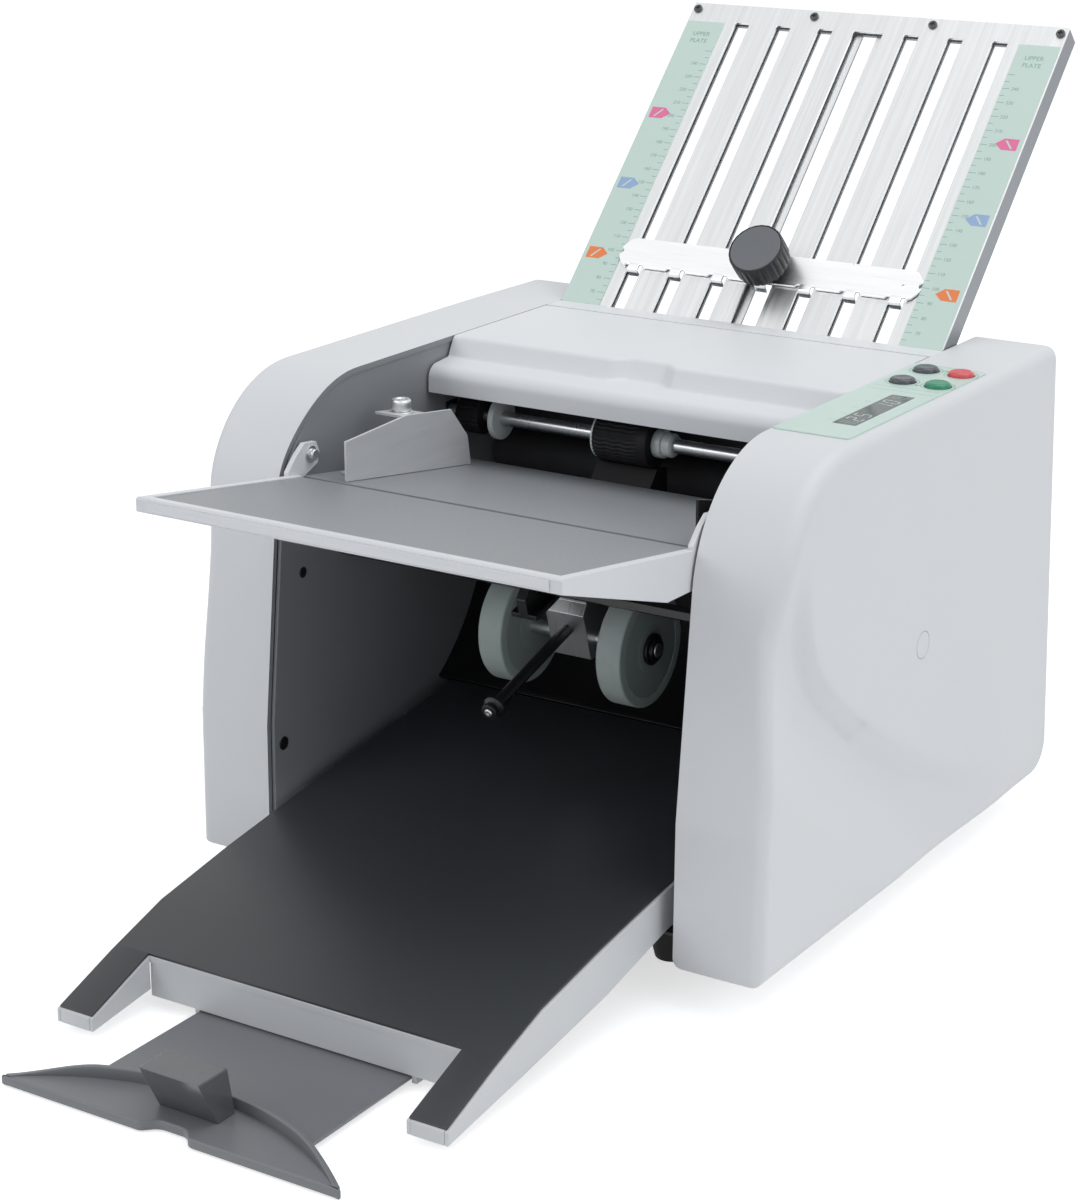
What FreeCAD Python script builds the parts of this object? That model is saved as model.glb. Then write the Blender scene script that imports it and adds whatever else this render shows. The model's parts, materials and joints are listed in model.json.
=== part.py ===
"""Desk paper folding machine: a parametric assembly in millimetres.

X runs across the machine, Y from the delivery side to the rear, Z up from the desk.
Sketches use a datum with Y = 0 near the covers' front and Z = 0 on the desk; the finished
pieces are moved along Y so that the origin is under the middle of the whole machine.
"""
import FreeCAD, Part
import math
import os
import re

import Sketcher

Vector = FreeCAD.Vector
doc = FreeCAD.newDocument("PaperFoldingMachine")
sheet = doc.addObject("Spreadsheet::Sheet", "Sizes")

# Driving dimensions. Lengths are millimetres, angles are degrees.
SIZES = {
    # body shell
    "openingWidth": 250.8, "coverWidth": 43.8, "coverRelief": 6.5, "coverWall": 3.0,
    "deskGap": 20.0, "bodyTop": 279.5, "coverToe": 8.0, "coverHeel": 352.0,
    "frontLean": 20.5, "rearLean": 18.0, "coverBow": 72.0, "heelRadius": 20.0,
    "topRearRadius": 9.0, "edgeBevel": 4.0, "reliefFront": 34.0, "reliefTop": 215.0,
    "reliefFoot": 34.0, "reliefArc": 430.0,
    # chassis
    "sheetSteel": 2.0, "frameInset": 0.8, "panFront": 18.0, "panRear": 324.0,
    "panFlange": 8.0, "shelfTop": 264.0, "shelfDepth": 30.0, "bushWall": 2.0, "bushFlange": 1.6,
    "footHeight": 24.0, "footRadius": 13.0, "footAcross": 96.0, "footFront": 42.0,
    "footRear": 306.0, "tieRadius": 4.0, "studRadius": 3.0,
    # clearances
    "slipGap": 0.3, "runGap": 0.05, "lidGap": 0.7,
    # top cover
    "lidFront": 143.0, "lidBottom": 252.0, "lipTop": 267.0, "stepFront": 163.0, "stepRear": 168.0,
    "lidRear": 266.0, "lidWall": 2.6, "lidPivotY": 250.0, "lidPivotZ": 274.0,
    "lidStud": 2.0, "lidSwing": 1.4, "notchWidth": 41.0,
    # fold rollers and feed rollers
    "rollerRadius": 14.7, "rollerPitch": 30.0, "journalRadius": 5.0, "rollerY": 221.0,
    "rollerZ": 204.0, "nipTilt": 15.0, "nipTurn": 4.0, "gearTeeth": 24.0, "toothDepth": 2.7,
    "gearWidth": 8.0, "trainTeeth": 18.0, "idlerTeeth": 20.0, "feedTeeth": 16.0, "trainWidth": 6.0,
    "feedY": 168.0, "feedZ": 236.0, "feedShaftRadius": 4.0, "feedRollerRadius": 14.0,
    "feedRollerLeft": 24.0, "feedRollerRight": 10.0, "endRollerInset": 8.4, "endRollerWidth": 15.0,
    "discInset": 34.9, "discThickness": 3.5, "feedRibs": 18.0,
    # drive
    "motorY": 255.0, "motorZ": 66.0, "motorRadius": 30.0, "motorLength": 96.0,
    "motorPulley": 8.0, "motorShaft": 4.0, "rollerPulley": 15.0, "beltWidth": 8.0, "beltThickness": 1.6,
    # feed table
    "tableSlope": 8.3, "tableHingeY": 28.0, "tableHingeZ": 242.5, "tableFront": 110.0,
    "tableSplit": 17.5, "tableZ": 233.2, "tableWall": 3.0, "tableRear": 157.0,
    "leftFenceInset": 31.0, "rightFenceInset": 8.4, "screwOffset": 8.6, "screwY": 86.0,
    "clampScrew": 2.0,
    # fold plates
    "mouthY": 240.6, "mouthZ": 235.4, "plateAngle": 45.8, "plateLength": 286.5,
    "plateSide": 0.6, "plateSheet": 1.5, "plateGap": 2.2, "plateDepth": 14.0, "scaleSheet": 0.4,
    "slotPitch": 28.7, "slotWidth": 9.6, "midSlot": 19.4, "slotEnd": 13.4, "slotStart": 20.0,
    "stopPlace": 99.5, "stopTall": 11.0, "stopWidth": 198.0, "stopLift": 0.6, "stopSheet": 1.5,
    "lowerStopPlace": 150.0, "knobRadius": 16.8, "knobTall": 20.0,
    "lowerMouthY": 243.0, "lowerMouthZ": 181.0, "lowerAngle": 38.0, "lowerLength": 215.0,
    "lowerSide": 7.4, "railWidth": 8.0, "knobScrew": 2.5, "knobFlutes": 18.0,
    # delivery
    "traySide": 8.4, "trayFront": 194.0, "trayRear": 150.0, "wheelY": 111.0, "wheelZ": 137.0,
    "wheelRadius": 32.3, "treadWidth": 15.2, "wheelSpacing": 74.6, "tyreDepth": 6.0, "wheelShaft": 4.0,
    "axleAhead": 4.8, "axleRise": 6.6,
    "carriageSlope": 17.4, "pullRodRadius": 3.2, "pullRodLength": 81.0,
    "endFront": 253.0, "endWidth": 202.0, "endArc": 156.0, "endThickness": 5.0, "endRim": 6.5,
    "chuteTopY": 204.0, "chuteTopZ": 182.0, "chuteArc": 125.0,
    "tongueWidth": 128.0, "tongueFloor": 2.9, "trayRise": 57.5, "railDrop": 46.0,
    "stopBlockWidth": 35.0,
    # controls
    "stripMargin": 0.6, "stripFront": 82.0, "stripLength": 164.0, "stripThickness": 0.8,
    "buttonRadius": 7.0, "buttonTall": 2.6, "buttonTravel": 1.0, "buttonOuter": 34.1,
    "buttonInner": 13.6, "buttonFront": 203.5, "buttonRear": 232.5,
    "inletX": -60.0, "inletZ": 52.0, "rockerX": -26.0,
}


def fill_cells(sizes, column):
    """Write sizes into the sheet, each under its own alias."""
    for row, (alias, size) in enumerate(sizes.items(), start=1):
        sheet.set(f"{chr(ord(column) - 1)}{row}", alias)
        sheet.set(f"{column}{row}", str(size))
        sheet.setAlias(f"{column}{row}", alias)
    doc.recompute()


def turned_by(angle, length):
    """The Y and Z of a step of the given length at an angle from +Y towards +Z."""
    return length * math.cos(math.radians(angle)), length * math.sin(math.radians(angle))


def mesh_phase(direction, phase, teeth, follower_teeth):
    """Phase of a gear that meshes with one of the given phase, lying in the given direction."""
    return direction + 180 + (180 + (direction - phase) * teeth) / follower_teeth


def gear_train(size):
    """Roller centres, the idler's centre and the phase of each meshed gear."""
    teeth = size["gearTeeth"]
    module = size["rollerPitch"] / teeth
    places = {"rollerBY": size["rollerY"], "rollerBZ": size["rollerZ"], "phaseB": 0.0}
    for letter, angle in (("A", 90 + size["nipTilt"]), ("C", size["nipTurn"]),
                          ("D", -90 + size["nipTurn"])):
        along, up = turned_by(angle, size["rollerPitch"])
        places[f"roller{letter}Y"] = size["rollerY"] + along
        places[f"roller{letter}Z"] = size["rollerZ"] + up
        places[f"phase{letter}"] = mesh_phase(angle, 0.0, teeth, teeth)
    # The idler stands where its pitch circle meets both the top roller's and the feed shaft's.
    reach = module * (size["trainTeeth"] + size["idlerTeeth"]) / 2
    rest = module * (size["idlerTeeth"] + size["feedTeeth"]) / 2
    across = size["feedY"] - places["rollerAY"]
    rise = size["feedZ"] - places["rollerAZ"]
    span = math.hypot(across, rise)
    opening = math.degrees(math.acos((reach ** 2 + span ** 2 - rest ** 2) / (2 * reach * span)))
    aim = math.degrees(math.atan2(rise, across)) + opening
    along, up = turned_by(aim, reach)
    places["idlerY"] = places["rollerAY"] + along
    places["idlerZ"] = places["rollerAZ"] + up
    places["phaseIdler"] = mesh_phase(aim, places["phaseA"], size["trainTeeth"], size["idlerTeeth"])
    onward = math.degrees(math.atan2(size["feedZ"] - places["idlerZ"], size["feedY"] - places["idlerY"]))
    places["phaseFeed"] = mesh_phase(onward, places["phaseIdler"], size["idlerTeeth"],
                                     size["feedTeeth"])
    return places


fill_cells(SIZES, "B")
fill_cells(gear_train(SIZES), "E")

FUNCTIONS = ("sin", "cos", "tan", "sqrt", "asin", "acos", "atan2", "pi")


def bound(expression):
    """The expression with every size's name pointing at the sheet."""
    def point(word):
        name = word.group()
        return name if name in FUNCTIONS else "Sizes." + name
    return re.sub(r"[A-Za-z]\w*", point, expression)


def value(expression):
    """The expression's number for the sizes as they are now."""
    return float(sheet.evalExpression(expression))


# Places that several pieces share, worked out from the sizes.
INNER = "(openingWidth / 2)"
OUTER = "(openingWidth / 2 + coverWidth)"
FRAME = "(openingWidth / 2 + frameInset)"
FRAME_OUT = "(openingWidth / 2 + frameInset + sheetSteel)"
REARMOST = "(mouthY + plateLength * cos(plateAngle) + plateDepth * sin(plateAngle))"
CENTRE = f"(({REARMOST} - endFront) / 2)"
TABLE_TAN = "tan(tableSlope)"
PAN_TOP = "(footHeight + sheetSteel)"
UPPER_WIDTH = "(openingWidth - plateSide * 2)"
LOWER_WIDTH = "(openingWidth - lowerSide * 2)"
TRAY_WIDTH = "(openingWidth - traySide * 2)"
LEFT_FENCE = "(-openingWidth / 2 + leftFenceInset)"
RIGHT_FENCE = "(openingWidth / 2 - rightFenceInset)"
ROLLERS = {letter: (f"roller{letter}Y", f"roller{letter}Z") for letter in "ABCD"}
GEAR_START = f"({FRAME_OUT} + 2.5)"
TRAIN_START = f"({GEAR_START} + gearWidth + 1)"
BUTTON_DEPTH = "(coverWall + 3)"
NODES = []


def table_z(y):
    """Height of the feed table's surface at datum y."""
    return f"(tableZ - ({y} - tableSplit) * {TABLE_TAN})"


# ---------------------------------------------------------------- helpers


def node(item, name):
    item.Label = name
    NODES.append(item)
    return item


def new_body(name):
    return doc.addObject("PartDesign::Body", name)


def place(item, x="0", y="0", z="0", tilt=None, roll=None):
    """Put a piece at datum x, y, z, turned by tilt about X or by roll about Z."""
    if tilt is not None:
        item.Placement.Rotation = FreeCAD.Rotation(Vector(1, 0, 0), 10)
        item.setExpression("Placement.Rotation.Angle", bound(tilt))
    if roll is not None:
        item.Placement.Rotation = FreeCAD.Rotation(Vector(0, 0, 1), 10)
        item.setExpression("Placement.Rotation.Angle", bound(roll))
    item.setExpression("Placement.Base.x", bound(x))
    item.setExpression("Placement.Base.y", bound(f"{y} - {CENTRE}"))
    item.setExpression("Placement.Base.z", bound(z))
    return item


def sketch_on(body, role, offset="0"):
    """A sketch on one of the body's origin planes, moved along that plane's normal."""
    plane = next(f for f in body.Origin.OriginFeatures if f.Role == role)
    sketch = body.newObject("Sketcher::SketchObject", body.Name + "_sketch")
    sketch.AttachmentSupport = [(plane, "")]
    sketch.MapMode = "FlatFace"
    sketch.setExpression("AttachmentOffset.Base.z", bound(offset))
    return sketch


def hold(sketch, kind, geometry, point, size):
    """One dimension of a sketch, bound to the sheet."""
    if kind == "Radius":
        index = sketch.addConstraint(Sketcher.Constraint(kind, geometry, value(size)))
    else:
        index = sketch.addConstraint(Sketcher.Constraint(kind, -1, 1, geometry, point, value(size)))
    sketch.setExpression(f"Constraints[{index}]", bound(size))


def outline(sketch, corners):
    """A closed outline. A corner is (x, y), or (x, y, radius, side) where an arc starts:
    side 1 has the arc's centre on the left of the way to the next corner, -1 on the right."""
    first = sketch.GeometryCount
    spots = [Vector(value(c[0]), value(c[1]), 0) for c in corners]
    ends = []
    for index, corner in enumerate(corners):
        start = spots[index]
        end = spots[(index + 1) % len(spots)]
        if len(corner) == 2:
            sketch.addGeometry(Part.LineSegment(start, end), False)
            ends.append((1, 2))
            continue
        radius = value(corner[2])
        chord = end - start
        left = Vector(-chord.y, chord.x, 0).normalize()
        rise = (radius ** 2 - (chord.Length / 2) ** 2) ** 0.5
        apex = (start + end) / 2 + left * corner[3] * (rise - radius)
        sketch.addGeometry(Part.Arc(start, apex, end), False)
        forward = sketch.getPoint(first + index, 1).distanceToPoint(start) < 1e-6
        ends.append((1, 2) if forward else (2, 1))
    for index, corner in enumerate(corners):
        following = (index + 1) % len(corners)
        sketch.addConstraint(Sketcher.Constraint(
            "Coincident", first + index, ends[index][1], first + following, ends[following][0]))
        hold(sketch, "DistanceX", first + index, ends[index][0], corner[0])
        hold(sketch, "DistanceY", first + index, ends[index][0], corner[1])
        if len(corner) == 4:
            hold(sketch, "Radius", first + index, 0, corner[2])


def rectangle(sketch, left, bottom, right, top):
    outline(sketch, [(left, bottom), (right, bottom), (right, top), (left, top)])


def polygon(sketch, x, y, radius, sides):
    """A regular outline whose corners lie on the radius."""
    turns = [f"{360 * (number + 0.5) / sides}" for number in range(sides)]
    outline(sketch, [(f"({x} + ({radius}) * cos({turn}))", f"({y} + ({radius}) * sin({turn}))")
                     for turn in turns])


def square(sketch, x, y, half):
    rectangle(sketch, f"{x} - ({half})", f"{y} - ({half})", f"{x} + ({half})", f"{y} + ({half})")


def circle(sketch, x, y, radius):
    index = sketch.addGeometry(Part.Circle(Vector(value(x), value(y), 0), Vector(0, 0, 1),
                                           value(radius)), False)
    hold(sketch, "DistanceX", index, 3, x)
    hold(sketch, "DistanceY", index, 3, y)
    hold(sketch, "Radius", index, 0, radius)


def extrude(kind, body, sketch, length, sides="One side", reverse=False):
    feature = body.newObject("PartDesign::" + kind, body.Name + "_" + kind.lower())
    feature.Profile = sketch
    feature.SideType = sides
    feature.Reversed = reverse
    feature.setExpression("Length", bound(length))
    doc.recompute()
    return feature


def pad(body, sketch, length, sides="One side", reverse=False):
    return extrude("Pad", body, sketch, length, sides, reverse)


def pocket(body, sketch, length, sides="One side", reverse=False):
    before = body.Shape.Volume
    feature = extrude("Pocket", body, sketch, length, sides, reverse)
    if body.Shape.Volume > before - 0.01:
        raise RuntimeError(f"{feature.Name} cuts nothing")
    return feature


def revolve(body, sketch):
    """A full turn about the sketch's horizontal axis."""
    feature = body.newObject("PartDesign::Revolution", body.Name + "_turned")
    feature.Profile = sketch
    feature.ReferenceAxis = (sketch, ["H_Axis"])
    feature.Angle = 360
    doc.recompute()
    return feature


def round_edges(body, radius, wanted, kind="Fillet"):
    """Fillets or chamfers on the edges of the body that the test wants."""
    base = body.Tip
    names = [f"Edge{n}" for n, edge in enumerate(base.Shape.Edges, 1) if wanted(edge)]
    if not names:
        raise RuntimeError(f"{body.Name}: no edge to round")
    feature = body.newObject("PartDesign::" + kind, body.Name + "_" + kind.lower())
    feature.Base = (base, names)
    feature.setExpression("Radius" if kind == "Fillet" else "Size", bound(radius))
    doc.recompute()
    return feature


def lies(x=None, y=None, z=None):
    """A test for edges that lie wholly at the given coordinates, before the body is placed."""
    wanted = [(axis, value(size)) for axis, size in zip("xyz", (x, y, z)) if size is not None]

    def test(edge):
        first, last = edge.ParameterRange
        spots = [edge.valueAt(first), edge.valueAt((first + last) / 2), edge.valueAt(last)]
        return all(abs(getattr(spot, axis) - size) < 0.02 for spot in spots for axis, size in wanted)
    return test


def repeat_round(body, feature, count, role="X_Axis"):
    axis = next(f for f in body.Origin.OriginFeatures if f.Role == role)
    pattern = body.newObject("PartDesign::PolarPattern", body.Name + "_ring")
    pattern.Originals = [feature]
    pattern.Axis = (axis, [""])
    pattern.Angle = 360
    pattern.Occurrences = count
    body.Tip = pattern
    doc.recompute()
    return pattern


def slab(name, corners, start, width, symmetric=False):
    """A piece with one side outline in Y and Z, extruded along X."""
    body = new_body(name)
    sketch = sketch_on(body, "YZ_Plane", start)
    outline(sketch, corners)
    pad(body, sketch, width, "Symmetric" if symmetric else "One side")
    return body


def turned(name, steps, bore=None):
    """A turned piece along X. steps are (start, end, radius) from left to right."""
    body = new_body(name)
    sketch = sketch_on(body, "XY_Plane")
    inner = bore or "0"
    corners = [(steps[0][0], inner)]
    for start, end, radius in steps:
        corners += [(start, radius), (end, radius)]
    corners.append((steps[-1][1], inner))
    outline(sketch, corners)
    revolve(body, sketch)
    return body


def group(name, members):
    """Identical or paired small pieces that share one node as separate solids."""
    compound = doc.addObject("Part::Compound", name)
    compound.Links = members
    return node(compound, name)


def rod(name, radius, start, length, y, z, kind="Cylinder"):
    """A plain bar along X, round or, as a prism, six-sided."""
    bar = doc.addObject("Part::" + kind, name)
    bar.Placement.Rotation = FreeCAD.Rotation(Vector(0, 1, 0), 90)
    bar.setExpression("Radius" if kind == "Cylinder" else "Circumradius", bound(radius))
    bar.setExpression("Height", bound(length))
    return place(bar, start, y, z)


# ---------------------------------------------------------------- body shell


def cover_corners(inset="0"):
    """The side cover's outline in Y and Z, moved inwards by the inset."""
    toe = f"(-coverToe + {inset})"
    floor = f"(deskGap + {inset})"
    top = f"(bodyTop - {inset})"
    return [
        (toe, floor),
        (f"(-coverToe + 1 + {inset})", "(deskGap + 78)"),
        (f"(-coverToe + frontLean + {inset})", top),
        (f"(coverHeel - rearLean - {inset})", top),
        (f"(coverHeel - {inset})", floor),
    ]


def round_cover_corners(body, inset="0"):
    corners = cover_corners(inset)
    for corner, radius in ((2, "coverBow"), (3, "topRearRadius"), (4, "heelRadius")):
        round_edges(body, f"({radius} - {inset})", lies(y=corners[corner][0], z=corners[corner][1]))


def cover_block(name, start, face, radius):
    """The side cover's outline as a solid block, its outer edges bevelled."""
    body = new_body(name)
    sketch = sketch_on(body, "YZ_Plane", start)
    outline(sketch, cover_corners())
    pad(body, sketch, f"{face} - ({start})")
    round_cover_corners(body)
    round_edges(body, radius, lies(x=face), "Chamfer")
    return body


def raised_field():
    """Upper and rear part of the cover's outer face, proud of the rest beyond one long arc."""
    face = f"({OUTER} + coverRelief)"
    body = cover_block("raised_field", f"{OUTER} - edgeBevel - 1", face, "edgeBevel")
    below = sketch_on(body, "YZ_Plane", face)
    outline(below, [
        ("reliefFront", "reliefTop", "reliefArc", 1),
        ("coverHeel + 40", "reliefFoot - 20"),
        ("coverHeel + 40", "deskGap - 30"),
        ("-coverToe - 30", "deskGap - 30"),
        ("-coverToe - 30", "bodyTop + 30"),
        ("reliefFront - 22", "bodyTop + 30"),
    ])
    pocket(body, below, "coverRelief + edgeBevel + 2")
    return body


def cover_hollow():
    """Space inside a side cover, open towards the machine."""
    body = new_body("cover_hollow")
    sketch = sketch_on(body, "YZ_Plane", INNER)
    outline(sketch, cover_corners("coverWall"))
    pad(body, sketch, "coverWidth - coverWall")
    round_cover_corners(body, "coverWall")
    return body


def combined(kind, name, base, tool):
    """A boolean of two pieces."""
    result = doc.addObject("Part::" + kind, name)
    result.Base = base
    result.Tool = tool
    return result


def side_covers():
    """Moulded side covers, hollow towards the machine; the right one has the button holes."""
    block = cover_block("cover_block", INNER, OUTER, "edgeBevel")
    solid = combined("Fuse", "cover_solid", block, raised_field())
    shell = combined("Cut", "cover_shell", solid, cover_hollow())
    holes = new_body("button_holes")
    sketch = sketch_on(holes, "XY_Plane", f"bodyTop - {BUTTON_DEPTH} - buttonTravel - slipGap")
    for x, y in BUTTONS.values():
        square(sketch, x, y, "buttonRadius + slipGap")
    pad(holes, sketch, f"{BUTTON_DEPTH} + buttonTravel + slipGap + 1")
    node(place(combined("Cut", "right_cover", shell, holes)), "right_cover")
    left = doc.addObject("Part::Mirroring", "left_cover")
    left.Source = shell
    left.Normal = Vector(1, 0, 0)
    node(place(left), "left_cover")


def frame_holes(sketch, side):
    """Seats in a side frame for the bushes, and holes for the drive and the outer cover."""
    for y, z in ROLLERS.values():
        square(sketch, y, z, "journalRadius + bushWall")
    square(sketch, "feedY", "feedZ", "feedShaftRadius + bushWall")
    circle(sketch, "25", "176.6", "2")
    circle(sketch, "4", "85", "2.5")
    if side < 0:
        square(sketch, "motorY", "motorZ", "motorPulley + 3")


def side_frame(side, name):
    """Steel side frame inside the cover, which carries every bush and stud."""
    body = new_body(name)
    sketch = sketch_on(body, "YZ_Plane", FRAME if side > 0 else f"-{FRAME}")
    outline(sketch, cover_corners("(coverWall + slipGap)"))
    frame_holes(sketch, side)
    pad(body, sketch, "sheetSteel", reverse=side < 0)
    round_cover_corners(body, "(coverWall + slipGap)")
    return node(place(body), name)


def base_pan():
    """Folded steel floor between the side frames."""
    body = new_body("base_pan")
    sketch = sketch_on(body, "XZ_Plane", "-panRear")
    half, floor = FRAME, "footHeight"
    outline(sketch, [
        (f"-{half}", floor), (half, floor), (half, f"{PAN_TOP} + panFlange"),
        (f"{half} - sheetSteel", f"{PAN_TOP} + panFlange"), (f"{half} - sheetSteel", PAN_TOP),
        (f"-{half} + sheetSteel", PAN_TOP), (f"-{half} + sheetSteel", f"{PAN_TOP} + panFlange"),
        (f"-{half}", f"{PAN_TOP} + panFlange"),
    ])
    pad(body, sketch, "panRear - panFront")
    return node(place(body), "base_pan")


def rubber_feet():
    """Four twelve-sided rubber feet under the floor pan."""
    feet = []
    for number, (across, depth) in enumerate((
            ("footAcross", "footFront"), ("-footAcross", "footFront"),
            ("footAcross", "footRear"), ("-footAcross", "footRear")), 1):
        foot = doc.addObject("Part::Prism", f"foot_{number}")
        foot.Polygon = 12
        foot.setExpression("Circumradius", bound("footRadius"))
        foot.setExpression("Height", bound("footHeight"))
        feet.append(place(foot, across, depth))
    return group("rubber_feet", feet)


def rear_panel():
    """Rear sheet with a top shelf under the upper plate and a slot for the lower plate."""
    body = slab("rear_panel", [
        ("panRear", PAN_TOP), ("panRear + sheetSteel", PAN_TOP), ("panRear + sheetSteel", "shelfTop"),
        ("panRear - shelfDepth", "shelfTop"), ("panRear - shelfDepth", "shelfTop - sheetSteel"),
        ("panRear", "shelfTop - sheetSteel"),
    ], "0", f"{FRAME} * 2", symmetric=True)
    window = sketch_on(body, "XZ_Plane", "-panRear - sheetSteel - 1")
    drop = "(lowerMouthZ - (panRear - lowerMouthY) * tan(lowerAngle))"
    rectangle(window, f"-{LOWER_WIDTH} / 2 - 2", f"{drop} - 24", f"{LOWER_WIDTH} / 2 + 2", f"{drop} + 22")
    rectangle(window, "inletX - 13.5 - slipGap", "inletZ - 9.5 - slipGap",
              "inletX + 13.5 + slipGap", "inletZ + 9.5 + slipGap")
    rectangle(window, "rockerX - 6 - slipGap", "inletZ - 10.2", "rockerX + 6 + slipGap", "inletZ + 10.2")
    pocket(body, window, "sheetSteel + 2", reverse=True)
    return node(place(body), "rear_panel")


def rail_tie(along):
    """Datum Y and Z of a tie through the carriage rail, at its place along the rail."""
    rise = "(railDrop + 12)"
    return (f"(wheelY + {along} * cos(carriageSlope) - {rise} * sin(carriageSlope))",
            f"(wheelZ + {along} * sin(carriageSlope) + {rise} * cos(carriageSlope))")


def cross_ties():
    """Hexagonal ties that hold the side frames apart."""
    ties = []
    places = (rail_tie("-35"), rail_tie("39"), ("300", "232"), ("300", "92"))
    for number, (y, z) in enumerate(places, 1):
        ties.append(rod(f"tie_{number}", "tieRadius", f"-{FRAME}", f"{FRAME} * 2", y, z, "Prism"))
    return group("cross_ties", ties)


def top_cover():
    """Hinged top cover: a stepped shell with closed ends and a finger recess in its step."""
    half = "(openingWidth / 2 - lidGap)"
    skin = [
        ("lidFront", "lidBottom"), ("lidFront", "lipTop - 1"), ("stepFront", "lipTop + 1.5"),
        ("stepRear", "bodyTop"), ("lidRear", "bodyTop"),
    ]
    inside = [
        ("lidRear", "bodyTop - lidWall"), ("stepRear + 1.6", "bodyTop - lidWall"),
        ("stepFront + 1.6", "lipTop + 1.5 - lidWall"), ("lidFront + lidWall", "lipTop - 1.2 - lidWall"),
        ("lidFront + lidWall", "lidBottom"),
    ]
    body = slab("top_cover", skin + inside, "0", f"{half} * 2", symmetric=True)
    ends = skin + [("lidRear", "lidPivotZ - 6"), ("lidPivotY - 12", "lidPivotZ - 7"),
                   ("stepRear", "bodyTop - 19"), ("lidFront + 8", "lidBottom")]
    for side, start in ((1, f"{half} - lidWall"), (-1, f"-{half}")):
        sketch = sketch_on(body, "YZ_Plane", start)
        outline(sketch, ends)
        circle(sketch, "lidPivotY", "lidPivotZ", "lidStud + runGap")
        pad(body, sketch, "lidWall")
    pocket_floor = sketch_on(body, "XY_Plane", "lipTop - 1")
    rectangle(pocket_floor, "-notchWidth / 2 - 3", "stepFront", "notchWidth / 2 + 3", "stepRear + 10.5")
    pad(body, pocket_floor, "bodyTop - lipTop")
    notch = sketch_on(body, "XY_Plane", "bodyTop + 1")
    outline(notch, [
        ("-notchWidth / 2", "stepFront - 8"), ("notchWidth / 2", "stepFront - 8"),
        ("notchWidth / 2", "stepRear"), ("notchWidth / 2 - 9", "stepRear + 7"),
        ("-notchWidth / 2 + 9", "stepRear + 7"), ("-notchWidth / 2", "stepRear"),
    ])
    pocket(body, notch, "bodyTop - lipTop - 1")
    round_edges(body, "4.5", lies(y="lidFront", z="lipTop - 1"))
    return node(place(body), "top_cover")


def top_bridge():
    """Fixed strip between the top cover's rear edge and the upper plate."""
    clear = "((scaleSheet + slipGap) / sin(plateAngle))"
    body = slab("top_bridge", [
        ("lidRear + lidSwing", "bodyTop - lidWall"), ("lidRear + lidSwing", "bodyTop"),
        (f"{plate_surface('bodyTop')} - {clear}", "bodyTop"),
        (f"{plate_surface('bodyTop - lidWall')} - {clear}", "bodyTop - lidWall"),
    ], "0", "openingWidth", symmetric=True)
    return node(place(body), "top_bridge")


def plate_surface(z):
    """Datum Y of the upper plate's front face at height z."""
    return f"(mouthY + ({z} - mouthZ) / tan(plateAngle))"


# ---------------------------------------------------------------- rollers and drive


def add_teeth(body, start, width, teeth):
    """Straight-flanked teeth on a wheel that is already turned to its root circle."""
    pitch = f"(rollerPitch / gearTeeth * {teeth} / 2)"
    thick = "(rollerPitch / gearTeeth * 0.785 - 0.12)"
    tooth = sketch_on(body, "YZ_Plane", start)
    outline(tooth, [
        (f"{pitch} - toothDepth * 0.75", f"-{thick} - 0.45"),
        (f"{pitch} + toothDepth * 0.4", f"-{thick} + 0.45"),
        (f"{pitch} + toothDepth * 0.4", f"{thick} - 0.45"),
        (f"{pitch} - toothDepth * 0.75", f"{thick} + 0.45"),
    ])
    feature = pad(body, tooth, width)
    repeat_round(body, feature, int(value(teeth)))


def root_radius(teeth):
    return f"(rollerPitch / gearTeeth * {teeth} / 2 - toothDepth * 0.55)"


def fold_roller(letter):
    """Fold roller with its journals and its gear; the top one also drives the feed train and
    the middle one carries the belt pulley."""
    y, z = ROLLERS[letter]
    steps = [
        (f"-{FRAME_OUT} - 2.5", f"-{FRAME} + 2.6", "journalRadius"),
        (f"-{FRAME} + 2.6", f"{FRAME} - 2.6", "rollerRadius"),
        (f"{FRAME} - 2.6", GEAR_START, "journalRadius"),
        (GEAR_START, f"{GEAR_START} + gearWidth", root_radius("gearTeeth")),
    ]
    if letter == "A":
        steps.append((f"{GEAR_START} + gearWidth", TRAIN_START, "journalRadius"))
        steps.append((TRAIN_START, f"{TRAIN_START} + trainWidth", root_radius("trainTeeth")))
    if letter == "B":
        near = f"-{FRAME_OUT} - 2.5"
        steps[:1] = [
            (f"{near} - 4 - beltWidth", near, "rollerPulley"),
            (near, f"-{FRAME} + 2.6", "journalRadius"),
        ]
    name = f"fold_roller_{letter.lower()}"
    body = turned(name, steps)
    add_teeth(body, GEAR_START, "gearWidth", "gearTeeth")
    if letter == "A":
        add_teeth(body, TRAIN_START, "trainWidth", "trainTeeth")
    return node(place(body, "0", y, z, tilt=f"phase{letter}"), name)


def bush(name, radius, side, y, z):
    """Square snap-in bush in a side frame, flange outwards."""
    body = new_body(name)
    seat = f"{radius} + bushWall - runGap"
    for start, half, width in ((FRAME, seat, "sheetSteel"),
                               (FRAME_OUT, f"{seat} + bushFlange", "1.2")):
        sketch = sketch_on(body, "YZ_Plane", start)
        square(sketch, "0", "0", half)
        circle(sketch, "0", "0", f"{radius} + runGap")
        pad(body, sketch, width)
    place(body, "0", y, z)
    if side < 0:
        body.Placement.Rotation = FreeCAD.Rotation(Vector(0, 0, 1), 180)
    return body


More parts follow.
